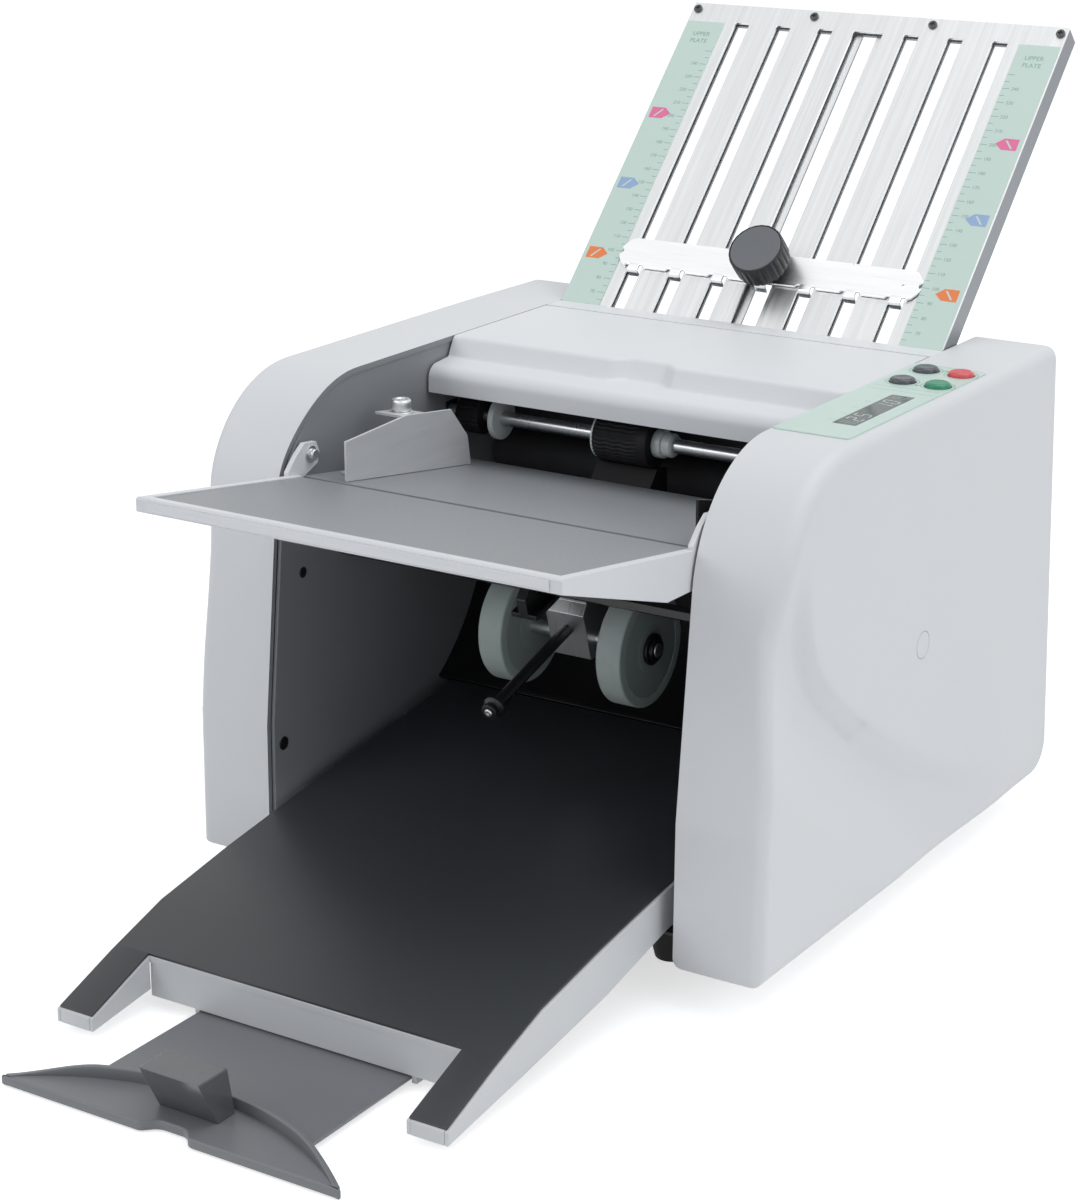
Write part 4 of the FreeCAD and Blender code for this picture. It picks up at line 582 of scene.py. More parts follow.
def inset_edge(start, end, depth):
    """A side of an outline moved inwards; the outline runs clockwise, seen from +X."""
    along = (end - start).normalized()
    return start + Vector((along.y, -along.x)) * depth, along


def cover_ring(depth):
    """The cover's outline moved inwards, always with the same number of points."""
    corners = [Vector(corner[:2]) for corner in COVER_CORNERS]
    moved = []
    for before, corner, after in neighbours(corners):
        spot, way = inset_edge(before, corner, depth)
        next_spot, next_way = inset_edge(corner, after, depth)
        cross = way.x * next_way.y - way.y * next_way.x
        gap = next_spot - spot
        moved.append(spot + way * ((gap.x * next_way.y - gap.y * next_way.x) / cross))
    moved[1] = moved[1].lerp(moved[0].lerp(moved[2], 0.3), smooth(8, 60, depth))
    arcs = []
    for index, (before, corner, after) in enumerate(neighbours(moved)):
        full = COVER_CORNERS[index][2]
        radius = max(full - depth, 0.6) if full else 0
        arcs.append(corner_arc(before, corner, after, radius, COVER_STEPS[index]))
    ring = []
    for index, arc in enumerate(arcs):
        following = (index + 1) % len(arcs)
        steps = max(int((corners[following] - corners[index]).length / RING_SPACING), 1)
        ring += arc
        ring += [arc[-1].lerp(arcs[following][0], step / steps) for step in range(1, steps)]
    return ring


def flowing(points, steps=7):
    """A smooth run of spots through the given ones."""
    spots = [Vector(point) for point in points]
    run = []
    for k in range(len(spots) - 1):
        before, start = spots[max(k - 1, 0)], spots[k]
        end, after = spots[k + 1], spots[min(k + 2, len(spots) - 1)]
        for step in range(steps):
            t = step / steps
            run.append(0.5 * ((2 * start) + (end - before) * t
                              + (2 * before - 5 * start + 4 * end - after) * t ** 2
                              + (3 * start - before - 3 * end + after) * t ** 3))
    return run + [spots[-1]]


FIELD_RUN = flowing(FIELD_EDGE)


def field_distance(point):
    """How far a spot of the side face lies inside the proud field; negative outside it."""
    nearest, inside = 1e9, 1
    for start, end in zip(FIELD_RUN, FIELD_RUN[1:]):
        way = end - start
        share = min(max((point - start).dot(way) / way.length_squared, 0), 1)
        gap = point - start - way * share
        if gap.length < nearest:
            nearest, inside = gap.length, way.x * gap.y - way.y * gap.x
    return nearest if inside > 0 else -nearest


def face_height(point, side):
    """Outer face of the cover over a spot: a valley follows the proud field's lower edge."""
    width = 10.5 + 8.5 * smooth(50, 240, point.x)
    within = field_distance(point)
    depth = (PROUD - RECESSED) * (1 - 0.9 * smooth(120, 290, point.x))
    depth = depth * (1 - 0.9 * smooth(16, 66, -within))
    depth *= (1 - smooth(186, 236, point.y)) * (1 if side > 0 else 0.45)
    taper = 2.4 * smooth(240, 350, point.x)
    return PROUD - taper - depth * (1 - smooth(-width * 0.5, width * 0.5, within))


def edge_radius(point, side):
    """Rounding of the cover's outer edge, softer along the right cover's upper front corner."""
    front = smooth(95, 215, point.y) * (1 - smooth(38, 84, point.x))
    return 6.4 + 2.6 * front if side > 0 else 4.2


def inner_face(point, side):
    """Where the cover meets the side frame; below its top the left one stands further out."""
    return INNER + (3.1 * (1 - smooth(235, 272, point.y)) if side < 0 else 0)


def inner_rings(side, edge):
    """The cover's inside and its lip, from the hollow's floor to the outer edge."""
    rings = []
    for depth, x, foot in ((7, 166, 0), (3, 160, 0)):
        rings.append([(side * x, point.x, max(point.y, foot)) for point in cover_ring(depth)])
    for depth, x, foot in ((3, HEEL, 23), (3, 0, 23 + HEEL)):
        rings.append([(side * (inner_face(near, side) + x), point.x, max(point.y, foot))
                      for near, point in zip(edge, cover_ring(depth))])
    for turn in range(0, 91, 15):
        x, foot = (HEEL * (1 - curve(math.radians(turn))) for curve in (math.cos, math.sin))
        rings.append([(side * (inner_face(point, side) + x), point.x, max(point.y, 20 + foot))
                      for point in edge])
    return rings


def cover_mesh(side):
    """The whole cover as one closed shell, hollow towards the machine."""
    edge = cover_ring(0)
    outer = []
    for depth in COVER_DEPTHS:
        ring = []
        for near, point in zip(edge, cover_ring(depth)):
            radius = edge_radius(near, side)
            fall = max(radius - depth, 0)
            drop = radius - math.sqrt(radius ** 2 - fall ** 2)
            ring.append((side * (face_height(point, side) - drop), point.x, point.y))
        outer.append(ring)
    rings = inner_rings(side, edge)
    pairs = list(zip(rings[-1], outer[0]))
    for share in (0.4, 0.75, 0.94):
        rings.append([Vector(near).lerp(Vector(far), share) for near, far in pairs])
    bm = bmesh.new()
    add_loft(bm, rings + outer)
    bmesh.ops.remove_doubles(bm, verts=bm.verts, dist=0.01)
    return bm


def carve(piece, cutters):
    """Cut solid shapes out of a piece for good."""
    for cutter in cutters:
        cut = piece.modifiers.new("cut", "BOOLEAN")
        cut.object, cut.solver = cutter, "EXACT"
    bpy.context.view_layer.update()
    shaped = bpy.data.meshes.new_from_object(piece.evaluated_get(
        bpy.context.evaluated_depsgraph_get()))
    piece.modifiers.clear()
    old = piece.data
    shaped.name = old.name + "_cut"
    piece.data = shaped
    bpy.data.meshes.remove(old)
    for cutter in cutters:
        bpy.data.objects.remove(cutter)


BUTTONS = {"start_button": (159.5, 203.5, "button_green"),
           "stop_button": (159.5, 232.5, "button_red"),
           "minus_button": (139, 203.5, "button_dark"), "plus_button": (139, 232.5, "button_dark")}


class FOLDER_OT_side_covers(bpy.types.Operator):
    """Mould the two side covers with their soft raised fields"""
    bl_idname = "folder.side_covers"
    bl_label = "Side Covers"

    def execute(self, context):
        right = mesh_object("cover_right_moulding", cover_mesh(1), datum())
        cutters = []
        for x, y, _slot in BUTTONS.values():
            bm = bmesh.new()
            hole = [(0, 268), (7.4, 268), (7.4, 284), (0, 284)]
            add_turned(bm, hole, 40, Matrix.Translation((x, y, 0)))
            cutters.append(mesh_object("button_hole", bm, datum()))
        bm = bmesh.new()
        groove = [(7.2, 175), (7.7, 175), (7.7, 178), (7.2, 178)]
        add_turned(bm, groove, 56, side_turn() @ Matrix.Translation((*PLUG_SPOT, 0)))
        cutters.append(mesh_object("plug_ring", bm, datum()))
        carve(right, cutters)
        finish(right, "machine", "cover_white", ("right_cover",), 62)
        left = mesh_object("cover_left_moulding", cover_mesh(-1), datum())
        finish(left, "machine", "cover_white", ("left_cover",), 62)
        for cover, side in ((right, 1), (left, -1)):
            # The lip that touches the side frame is masked and sprayed with the frame.
            mesh = cover.data
            mesh.materials.append(finish_of("inner_grey"))
            for face in mesh.polygons:
                far = max(abs(mesh.vertices[k].co.x) for k in face.vertices)
                if far < (INNER + LIP_REACH) * MM and face.normal.x * side < -0.8:
                    face.material_index = 1
        return {"FINISHED"}


# ---------------------------------------------------------------- top cover

LID_HALF, LID_WALL, LID_HINGE = 124.7, 2.6, (250, 274)


def lid_profile(shift):
    """Closed outline of the lid's skin in Y and Z, with its step moved to the rear."""
    outer = [(143, 252), (143, 266.6, 10.5), (163 + shift, 268.6, 2.5),
             (168.4 + shift, 279.5, 4.2), (266, 279.5, 0.8), (266, 276.9)]
    inner = [(169.8 + shift, 276.9, 2), (164.6 + shift, 266, 4), (145.6, 264.0, 7.9), (145.6, 252)]
    return rounded(outer + inner, 7)


def weigh_lid_edges(mesh):
    """Mark the lid's outermost edges, but for those of its hinge holes, to be rounded."""
    weights = mesh.attributes.new("bevel_weight_edge", "FLOAT", "EDGE")
    for edge in mesh.edges:
        ends = [mesh.vertices[k].co for k in edge.vertices]
        hub = all((Vector((co.y, co.z)) - Vector(LID_HINGE)).length < 3 for co in ends)
        if not hub and all(abs(co.x) > LID_HALF - 0.01 for co in ends):
            weights.data[edge.index].value = 1.0


class FOLDER_OT_top_cover(bpy.types.Operator):
    """Mould the hinged top cover: rounded lip, step and finger recess"""
    bl_idname = "folder.top_cover"
    bl_label = "Top Cover"

    def execute(self, context):
        inside = LID_HALF - LID_WALL
        stations = [-inside, -90, -60, -40, -28, *range(-26, 27), 28, 40, 60, 90, inside]
        rings = []
        for x in stations:
            shift = 7.0 * (1 - smooth(10.5, 21.5, abs(x)))
            rings.append([(x, point.x, point.y) for point in lid_profile(shift)])
        bm = bmesh.new()
        add_loft(bm, rings)
        end = rounded([(143, 252), (143, 266.6, 10.5), (163, 268.6, 2.5), (168.4, 279.5, 4.2),
                       (266, 279.5, 0.8), (266, 268, 2), (238, 267, 8), (168, 260.5, 8),
                       (151, 252, 2)], 7)
        for start in (-LID_HALF, inside):
            add_sheet(bm, [end, disc(2.05, 24, *LID_HINGE)], 0, LID_WALL, 0, side_turn(start))
        lid = mesh_object("lid_moulding", bm)
        weigh_lid_edges(lid.data)
        lid.data.transform(datum())
        soft = lid.modifiers.new("ends", "BEVEL")
        soft.limit_method, soft.width, soft.segments = "WEIGHT", 1.1 * MM, 3
        finish(lid, "top_cover", "lid_white", ("top_cover",), 34)
        return {"FINISHED"}


# ---------------------------------------------------------------- fold plates

SLOTS_ACROSS = [0.0] + [side * 28.7 * number for number in (1, 2, 3) for side in (1, -1)]
# Distance of the upper stop at rest from the plate's lower edge.
STOP_Y = 99.5
TAB_WIDTH, KNOB_SEAT = 7.0, 2.4
# Underside and top of the ink on the scale strips.
SCALE_PRINT = (0.405, 0.43)


def stop_bar_outline():
    """Flat stop bar: hooked ends, two small catches on top and notches beside each slot."""
    low = []
    for x in sorted(SLOTS_ACROSS):
        low += [(x - 6.8, -10, 0.5), (x - 5.6, -8.6, 0.6), (x + 5.6, -8.6, 0.6), (x + 6.8, -10, 0.5)]
    right = [(92, -10, 1), (95.2, -8.4, 1.4), (97.8, -5, 1.4), (99, -2.2, 0.8), (96.9, -0.7, 0.7),
             (96.9, 0.9, 0.7), (98.7, 2.4, 0.8), (97.2, 5.4, 1.5), (93.8, 9.2, 1.6), (90.5, 10, 1.2)]
    top = [(53.5, 10, 0.5), (52.5, 8.5, 0.4), (51.5, 10, 0.5)]
    return rounded(low + right + top + mirrored(top) + mirrored(right), 3)


def stop_bar(which):
    """Stainless stop bar of a fold plate with the tabs that hang in its slots."""
    bm = bmesh.new()
    add_sheet(bm, [stop_bar_outline(), disc(2.6, 28), disc(1.3, 20, 88, -1)], 0.6, 2.1, 0.3)
    tab = rounded([(-8, 2.1), (-11.9, 2.1, 1.6), (-13.4, 0.4, 1.4), (-13.4, -3.7, 0.5),
                   (-11.9, -3.7, 0.5), (-11.9, 0.2, 0.8), (-11.3, 0.62, 0.6), (-8, 0.62)], 4)
    for x in SLOTS_ACROSS:
        add_sheet(bm, [tab], 0, TAB_WIDTH, 0.35, side_turn(x - TAB_WIDTH / 2))
    steel = extra("cross_ground_stainless", brushed, "#f4f5f6", 0.3, (30, 1.2, 30), 0.003, 0.08)
    stop = f"{which}_stop"
    show(f"{stop}_bar", bm, plate_axes(which), stop, "stainless", stop, angle=30, coat=steel)


def clamp_knob(which):
    """Fluted knob with a dished top, and its steel screw and nut."""
    axes, knob, seat = plate_axes(which), f"{which}_knob", KNOB_SEAT
    bm = bmesh.new()
    grip = [(8.6, 0, 0), (9.0, 0.4, 0), (9.0, 3.9, 0), (15.0, 4.0, 0), (15.9, 4.5, 0.5),
            (16.5, 6, 0.75), (16.7, 12, 0.75), (16.7, 17.4, 0.7), (16.6, 18.6, 0.45),
            (16.35, 19.5, 0.15), (15.9, 19.9, 0), (15.5, 19.9, 0), (15.4, 18, 0)]
    add_fluted(bm, [(radius, seat + height, dip) for radius, height, dip in grip], 216,
               sizes().knob_flutes)
    nylon = extra("textured_nylon_knob", moulded, "knob", 0.44, 0.6, 0.02)
    show(f"{knob}_grip", bm, axes, knob, "dark_plastic", knob, angle=40, coat=nylon)
    bm = bmesh.new()
    add_turned(bm, [(0, seat + 18.05), (15.35, seat + 18.05, 0), (15.35, seat + 19.95, 0.5),
                    (13.5, seat + 19.75, 2), (0, seat + 19.0)], 96, steps=6)
    # The cap's grey is lighter than the grip's: partly the cap's own colour, partly painted sheen of
    # the light on the knob's dished top.
    satin = extra("satin_abs_knob_cap", moulded, "knob_cap", 0.34, 0.5, 0.008, 0.05)
    show(f"{knob}_cap", bm, axes, knob, "dark_plastic", angle=40, coat=satin)
    bm = bmesh.new()
    add_turned(bm, [(0, -6.5), (2.2, -6.5, 0.3), (2.5, -6, 0.2), (2.5, seat + 1, 0), (0, seat + 1)],
               32)
    add_sheet(bm, [disc(7.1, 6)], -6.7, -5.55, 0.2)
    show(f"{knob}_screw", bm, axes, knob, "zinc_steel")


def plate_facing():
    """Bright slotted sheet on the upper plate's back, seen through the front sheet's slots."""
    slots = [window(x - 4.8, 20 - STOP_Y, x + 4.8, 273.1 - STOP_Y, 0.6) for x in SLOTS_ACROSS]
    bm = bmesh.new()
    add_sheet(bm, [window(-110, -92, 110, 184)] + slots, -3.69, -3.6)
    show("plate_back_facing", bm, plate_axes("upper"), "machine", "stainless")


def plate_screws():
    """Pan-head screws that hold the upper plate's end to its rails."""
    bm = bmesh.new()
    cross = [(0.45, 0.45), (0.45, 1.5), (-0.45, 1.5), (-0.45, 0.45), (-1.5, 0.45), (-1.5, -0.45),
             (-0.45, -0.45), (-0.45, -1.5), (0.45, -1.5), (0.45, -0.45), (1.5, -0.45), (1.5, 0.45)]
    for x in (-121, -39.6, 39.6, 121):
        spot = Matrix.Translation((x, 281.5 - STOP_Y, 0))
        add_sheet(bm, [disc(2.7, 32)], 0, 0.5, 0.1, spot)
        add_sheet(bm, [disc(2.7, 32), cross], 0.5, 1.3, 0.3, spot)
    oxide = extra("black_oxide_steel", brushed, "#5a5c5e", 0.36, (1.5, 1.5, 9), 0.002, 0.1)
    show("plate_end_screws", bm, plate_axes("upper"), "machine", "zinc_steel", coat=oxide)


def printed_scales():
    """Ticks, numerals and plain words on the two scale strips."""
    bm = bmesh.new()
    low, high = SCALE_PRINT
    letters = low + 0.02
    for side in (1, -1):
        inner = side * 98.6
        for along in range(20, 251, 5):
            y, reach = along - STOP_Y, 3.0 if along % 10 else 4.6
            ends = sorted((inner, inner + side * reach))
            add_bar(bm, ends[0], y - 0.18, ends[1], y + 0.18, low, high)
        for along in range(20, 250, 10):
            spot = (inner + side * 8.2, along - STOP_Y, letters)
            add_letters(bm, str(along), 2.2, Matrix.Translation(spot))
        for line, word in enumerate(("UPPER", "PLATE")):
            spot = (side * 111, 262.5 - 5.2 * line - STOP_Y, letters)
            add_letters(bm, word, 3.0, Matrix.Translation(spot))
    show("scale_print", bm, plate_axes("upper"), "machine", "mint_film", coat=grey_ink())


def fold_pointers():
    """The coloured pointers beside the scales, each a flag with a slanted slit."""
    low, high = SCALE_PRINT
    flag = [(-7.2, -3.6), (2.0, -3.6), (6.8, 0.4), (2.0, 4.4), (-7.2, 4.4)]
    slit = [(-4.6, -2.4), (-3.2, -2.4), (1.4, 3.2), (0.0, 3.2)]
    for name, along in (("pink", 201.0), ("blue", 148.0), ("orange", 96.6)):
        bm = bmesh.new()
        for side in (-1, 1):
            loops = [[(-side * x, y) for x, y in loop] for loop in (flag, slit)]
            spot = Matrix.Translation((side * 114.6, along - STOP_Y, 0))
            add_sheet(bm, loops, low, high, 0, spot)
        show(f"fold_pointer_{name}", bm, plate_axes("upper"), "machine", "mint_film",
             coat=extra(f"screen_ink_{name}", ink, name))


class FOLDER_OT_fold_stops(bpy.types.Operator):
    """Stamp the two stop bars and mould their clamp knobs"""
    bl_idname = "folder.fold_stops"
    bl_label = "Stop Bars and Knobs"

    def execute(self, context):
        for which in ("upper", "lower"):
            stop_bar(which)
            clamp_knob(which)
        return {"FINISHED"}


class FOLDER_OT_plate_print(bpy.types.Operator):
    """Print the scales and pointers, and drive the plate's end screws"""
    bl_idname = "folder.plate_print"
    bl_label = "Plate Scales and Screws"

    def execute(self, context):
        printed_scales()
        fold_pointers()
        plate_facing()
        plate_screws()
        return {"FINISHED"}


# ---------------------------------------------------------------- feed

SHAFT_BORE = 4.06


def ribbed_roller(bm, left, right, radius, ribs, plain=0.0):
    """Rubber roller with wavy ribs along it, bored for its shaft, with a plain band at its end."""
    count = ribs * 6
    rings = [wavy_ring(count, left, lambda turn: SHAFT_BORE)]
    for x in [left + (right - left) * step / 22 for step in range(23)]:
        round_off = 0.5 * max(0.9 - min(x - left, right - x), 0)
        depth = 0.0 if x > right - plain else 0.8

        def grip(turn):
            wave = 0.5 + 0.5 * math.cos(ribs * (turn + 0.035 * math.sin(x * 0.75)))
            return radius - depth * wave - round_off

        rings.append(wavy_ring(count, x, grip))
    rings.append(wavy_ring(count, right, lambda turn: SHAFT_BORE))
    rows = add_loft(bm, rings, capped=False)
    for k in range(count):
        after = (k + 1) % count
        bm.faces.new((rows[0][k], rows[0][after], rows[-1][after], rows[-1][k]))


class FOLDER_OT_feed_rollers(bpy.types.Operator):
    """Mould the ribbed feed roller, the end roller and the pale collars"""
    bl_idname = "folder.feed_rollers"
    bl_label = "Feed Rollers"

    def execute(self, context):
        shaft, bore = roller_axes("feed_spin"), SHAFT_BORE
        bm = bmesh.new()
        ribbed_roller(bm, -24, 10, 14, sizes().roller_ribs, 7)
        ribbed_roller(bm, -117, -102, 11, 24)
        show("ribbed_feed_rollers", bm, shaft, "feed_drive", "black_rubber", "feed_rollers",
             angle=50)
        bm = bmesh.new()
        for corners in (
                [(bore, -94), (12.2, -94, 0.5), (12.2, -90.5, 0.5), (bore, -90.5)],
                [(bore, -27), (6.8, -27, 0.4), (6.8, -25.6, 0.3), (12.9, -25.5, 0.3),
                 (12.9, -24.3, 0.3), (bore, -24.3)],
                [(bore, 10.3), (7.8, 10.3, 0.3), (7.8, 15.5, 0.4), (6.7, 16.1, 0.3),
                 (6.7, 20.6, 0.6), (5.6, 22, 0.5), (bore, 22)]):
            add_turned(bm, corners, 56)
        show("feed_shaft_collars", bm, shaft, "feed_drive", "white_plastic", "feed_collars")
        return {"FINISHED"}


class FOLDER_OT_guide_screw(bpy.types.Operator):
    """Turn the thumb-screw and washer that clamp the left guide"""
    bl_idname = "folder.guide_screw"
    bl_label = "Guide Thumb-Screw"

    def execute(self, context):
        foot, top = (corner[2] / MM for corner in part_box("guide_screw"))
        head = top - 6.5
        turn = Matrix.Translation((-103, 86, 0))
        knurl = [(4.7, 0, 0), (5.2, 0.5, 0), (5.5, 1.1, 0.12), (5.5, 5.2, 0.12), (5.3, 5.9, 0.1),
                 (4.8, 6.5, 0), (3.0, 6.5, 0), (2.6, 6.1, 0)]
        bm = bmesh.new()
        add_fluted(bm, [(radius, head + height, dip) for radius, height, dip in knurl], 192, 32, turn)
        add_turned(bm, [(0, foot), (1.7, foot, 0.3), (2, foot + 1, 0.3), (2, head + 1, 0),
                        (0, head + 1)], 28, turn)
        add_turned(bm, [(2.2, head - 0.85), (6.4, head - 0.85, 0.3), (6.4, head, 0.3),
                        (2.2, head)], 44, turn)
        show("guide_thumb_screw", bm, datum(), "guide_screw", "zinc_steel", "guide_screw", angle=34,
             coat=bright_nickel())
        return {"FINISHED"}


# ---------------------------------------------------------------- delivery

ROD_SPOT = (0, 4.8, 9.8)


class FOLDER_OT_delivery_wheels(bpy.types.Operator):
    """Turn the two delivery wheels with their shaft bosses"""
    bl_idname = "folder.delivery_wheels"
    bl_label = "Delivery Wheels"

    def execute(self, context):
        axle = roller_axes("wheel_spin")
        tyres, cores, shaft, bosses = bmesh.new(), bmesh.new(), bmesh.new(), bmesh.new()
        for middle in (-37.3, 37.3):
            low, high = middle - 7.6, middle + 7.6
            add_turned(tyres, [(26.5, low), (32.3, low, 1.1), (32.3, high, 1.1), (26.5, high)], 128)
            add_turned(cores, [
                (4.1, low), (12.5, low, 0.4), (12.8, low + 0.25, 0.2), (26.3, low + 0.25, 0.3),
                (26.3, high - 0.25, 0.3), (12.8, high - 0.25, 0.2), (12.5, high, 0.4), (4.1, high)],
                96)
        add_turned(shaft, [(0, -49.9), (3.6, -49.9, 0.4), (4, -49.4, 0.3), (4, 49.4, 0.3),
                           (3.6, 49.9, 0.4), (0, 49.9)], 40)
        for side in (-1, 1):
            boss = [(4.02, 45.2), (8.8, 45.2, 0.3), (8.8, 47.2, 0.8), (6.4, 47.6, 0.3),
                    (6.4, 49.2, 0.5), (4.02, 49.2)]
            add_turned(bosses, [(radius, side * x, *turn) for radius, x, *turn in boss], 44)
        show("delivery_wheel_tyres", tyres, axle, "wheels", "grey_rubber", "delivery_tyres",
             angle=40)
        # The cores are a darker grey than the tyres as painted shade on the wheels' side faces, which
        # are one even colour with the tyres.
        core = extra("moulded_wheel_core", moulded, "wheel_core", 0.5, 0.8, 0.01)
        show("delivery_wheel_cores", cores, axle, "wheels", "grey_plastic", "wheel_hubs", angle=34,
             coat=core)
        show("delivery_wheel_shaft", shaft, axle, "wheels", "zinc_steel", "wheel_shaft", angle=34,
             coat=bright_nickel())
        show("delivery_wheel_bosses", bosses, axle, "wheels", "black_plastic")
        return {"FINISHED"}


class FOLDER_OT_pull_rod(bpy.types.Operator):
    """Turn the carriage's pull rod with its flange and bright tip"""
    bl_idname = "folder.pull_rod"
    bl_label = "Pull Rod"

    def execute(self, context):
        lay = carriage_axes() @ Matrix.Translation(ROD_SPOT) @ Matrix.Rotation(math.pi / 2, 4, "X")
        bm = bmesh.new()
        add_turned(bm, [
            (0, 15), (3.2, 15, 0), (3.2, 87.0, 0.4), (4.4, 87.4, 0.3), (6.2, 87.8, 0.5),
            (6.2, 90.0, 0.5), (4.0, 90.8, 0.3), (4.0, 93.0, 0.3), (4.6, 93.4, 0.3),
            (4.6, 94.8, 0.4), (2.6, 95.1, 0), (0, 95.1)], 56)
        show("carriage_pull_rod", bm, lay, "carriage", "black_steel", "pull_rod", angle=36)
        bm = bmesh.new()
        add_turned(bm, [(0, 95.0), (2.3, 95.0, 0), (2.3, 95.5, 0.3), (1.7, 95.95, 0.2),
                        (0.7, 95.95, 0.1), (0.5, 95.5, 0), (0, 95.5)], 32)
        show("pull_rod_tip", bm, lay, "carriage", "zinc_steel")
        return {"FINISHED"}


TRAY_LINE = ((150, 78.5), (-2, 57.5), (-60, 48.8), (-114, 39), (-153, 26.5), (-193.4, 11.6))
TRAY_HALF, ARM_SIDE, NOTCH_END = 117.0, 93.6, -150.0


def strip_below(start, end, above, depth):
    """Outline of a sheet along the tray's top line between two Y places."""
    line = [(start, tray_height(start))]
    line += [spot for spot in TRAY_LINE if end < spot[0] < start] + [(end, tray_height(end))]
    top = [Vector(spot) + Vector((0, above)) for spot in line]
    low = [Vector(spot) + Vector((0, above - depth)) for spot in line]
    return top + low[::-1]


def tray_height(y):
    """Height of the tray's top line at a Y place."""
    for (far, high), (near, low) in zip(TRAY_LINE, TRAY_LINE[1:]):
        if near <= y <= far:
            return low + (high - low) * (y - near) / (far - near)
    return TRAY_LINE[-1][1]


class FOLDER_OT_delivery_tray(bpy.types.Operator):
    """Mould the delivery tray with its two front arms, and lay its dark lining"""
    bl_idname = "folder.delivery_tray"
    bl_label = "Delivery Tray"

    def execute(self, context):
        skin, lined, notch = 2.4, 115.5, NOTCH_END
        nose = [(-194, 11), (-194, 4.3)]
        flange = [*TRAY_LINE, *nose, (-127, 13), (-57, 23), (0, 35.5), (150, 55.5)]
        arm = strip_below(notch, -193.4, 0, 3)[:3] + nose + [
            (-191.6, 4.3), (-191.6, 9.2), (-153, 23.5), (notch, 24.5)]
        rib = [(notch, tray_height(notch)), *TRAY_LINE[4:], *nose, (notch, 9.6)]
        apron = [(notch + 0.5, 26), (notch + 0.5, 6), (notch + 3, 6), (notch + 3, 26)]
        runner = [(-134, 1.4), (-134, 30), (notch + 2, 25), (notch + 2, 1.4)]
        bm = bmesh.new()
        add_sheet(bm, [strip_below(150, notch, 0, 3)], 0, 2 * (TRAY_HALF - skin), 0.2,
                  side_turn(skin - TRAY_HALF))
        add_sheet(bm, [apron], 0, 2 * ARM_SIDE + 1, 0.3, side_turn(-ARM_SIDE - 0.5))
        for side in (-1, 1):
            for outline, near, far, edge in (
                    (flange, TRAY_HALF - skin, TRAY_HALF, 0.7),
                    (arm, ARM_SIDE + skin, TRAY_HALF - skin, 0.2),
                    (rib, ARM_SIDE, ARM_SIDE + skin, 0.7), (runner, 64.3, 67.3, 0.2)):
                start = near if side > 0 else -far
                add_sheet(bm, [outline], 0, far - near, edge, side_turn(start))
        show("tray_moulding", bm, datum(), "machine", "tray_plastic", "delivery_tray", angle=34)
        bm = bmesh.new()
        split, arm_start = notch + 0.6, ARM_SIDE + 1.2
        add_sheet(bm, [strip_below(149.5, split, 1.2, 1.15)], 0, 2 * lined, 0.2, side_turn(-lined))
        for start in (-lined, arm_start):
            add_sheet(bm, [strip_below(split, -193, 1.2, 1.15)], 0, lined - arm_start, 0.2,
                      side_turn(start))
        show("tray_lining", bm, datum(), "machine", "dark_plastic", "tray_liner", angle=34)
        return {"FINISHED"}


class FOLDER_OT_table_lining(bpy.types.Operator):
    """Lay the grey sheet in the feed table's recess"""
    bl_idname = "folder.table_lining"
    bl_label = "Table Lining"

    def execute(self, context):
        slope = math.radians(8.3)
        top = axes_at(place(0, 17.5, 233.2), (1, 0, 0), (0, math.sin(slope), math.cos(slope)))
        bm = bmesh.new()
        add_sheet(bm, [window(-118.7, -121.5, 118.7, -0.4, 1.5)], -0.98, -0.5, 0.15, top)
        show("table_lining", bm, Matrix(), "feed_table", "inner_grey")
        return {"FINISHED"}


def inner_wall(side, y, z, x):
    """Frame of a turned piece that points inwards from one side of the machine."""
    return Matrix.Rotation(math.pi * (side > 0), 4, "Z") @ side_turn() @ Matrix.Translation(
        (-side * y, z, -x))


class FOLDER_OT_frame_plugs(bpy.types.Operator):
    """Push the black plugs into the side frames' holes and fit the table's pin ends"""
    bl_idname = "folder.frame_plugs"
    bl_label = "Frame Plugs"

    def execute(self, context):
        pin = [(0, -0.6), (4.7, -0.6), (4.7, 0.5, 0.2), (3.1, 0.5, 0.1), (3.1, 3.4, 0.7), (0, 3.4)]
        pins, plugs = bmesh.new(), bmesh.new()
        for side in (-1, 1):
            add_turned(pins, pin, 36, inner_wall(side, 28, 242.5, 120.9))
        show("table_hinge_pin_ends", pins, datum(), "machine", "zinc_steel")
        for y, z, radius in ((25, 176.6, 3.0), (4, 85, 3.8)):
            neck = radius - 1.2
            for side in (-1, 1):
                add_turned(plugs, [(0, -1.5), (neck, -1.5, 0.2), (neck, 0), (radius, 0, 0.1),
                                   (radius, 0.5, 0.4), (0, 1.0)], 36, inner_wall(side, y, z, 126.2))
        show("side_frame_plugs", plugs, datum(), "machine", "black_plastic")
        return {"FINISHED"}


def bow(radius, reach, centre, count=64):
    """Points of the tray end's rear arc from right to left, out to the given half width."""
    edge = math.asin(reach / radius)
    turns = [edge - 2 * edge * k / count for k in range(count + 1)]
    return [Vector((radius * math.sin(turn), centre + radius * math.cos(turn))) for turn in turns]


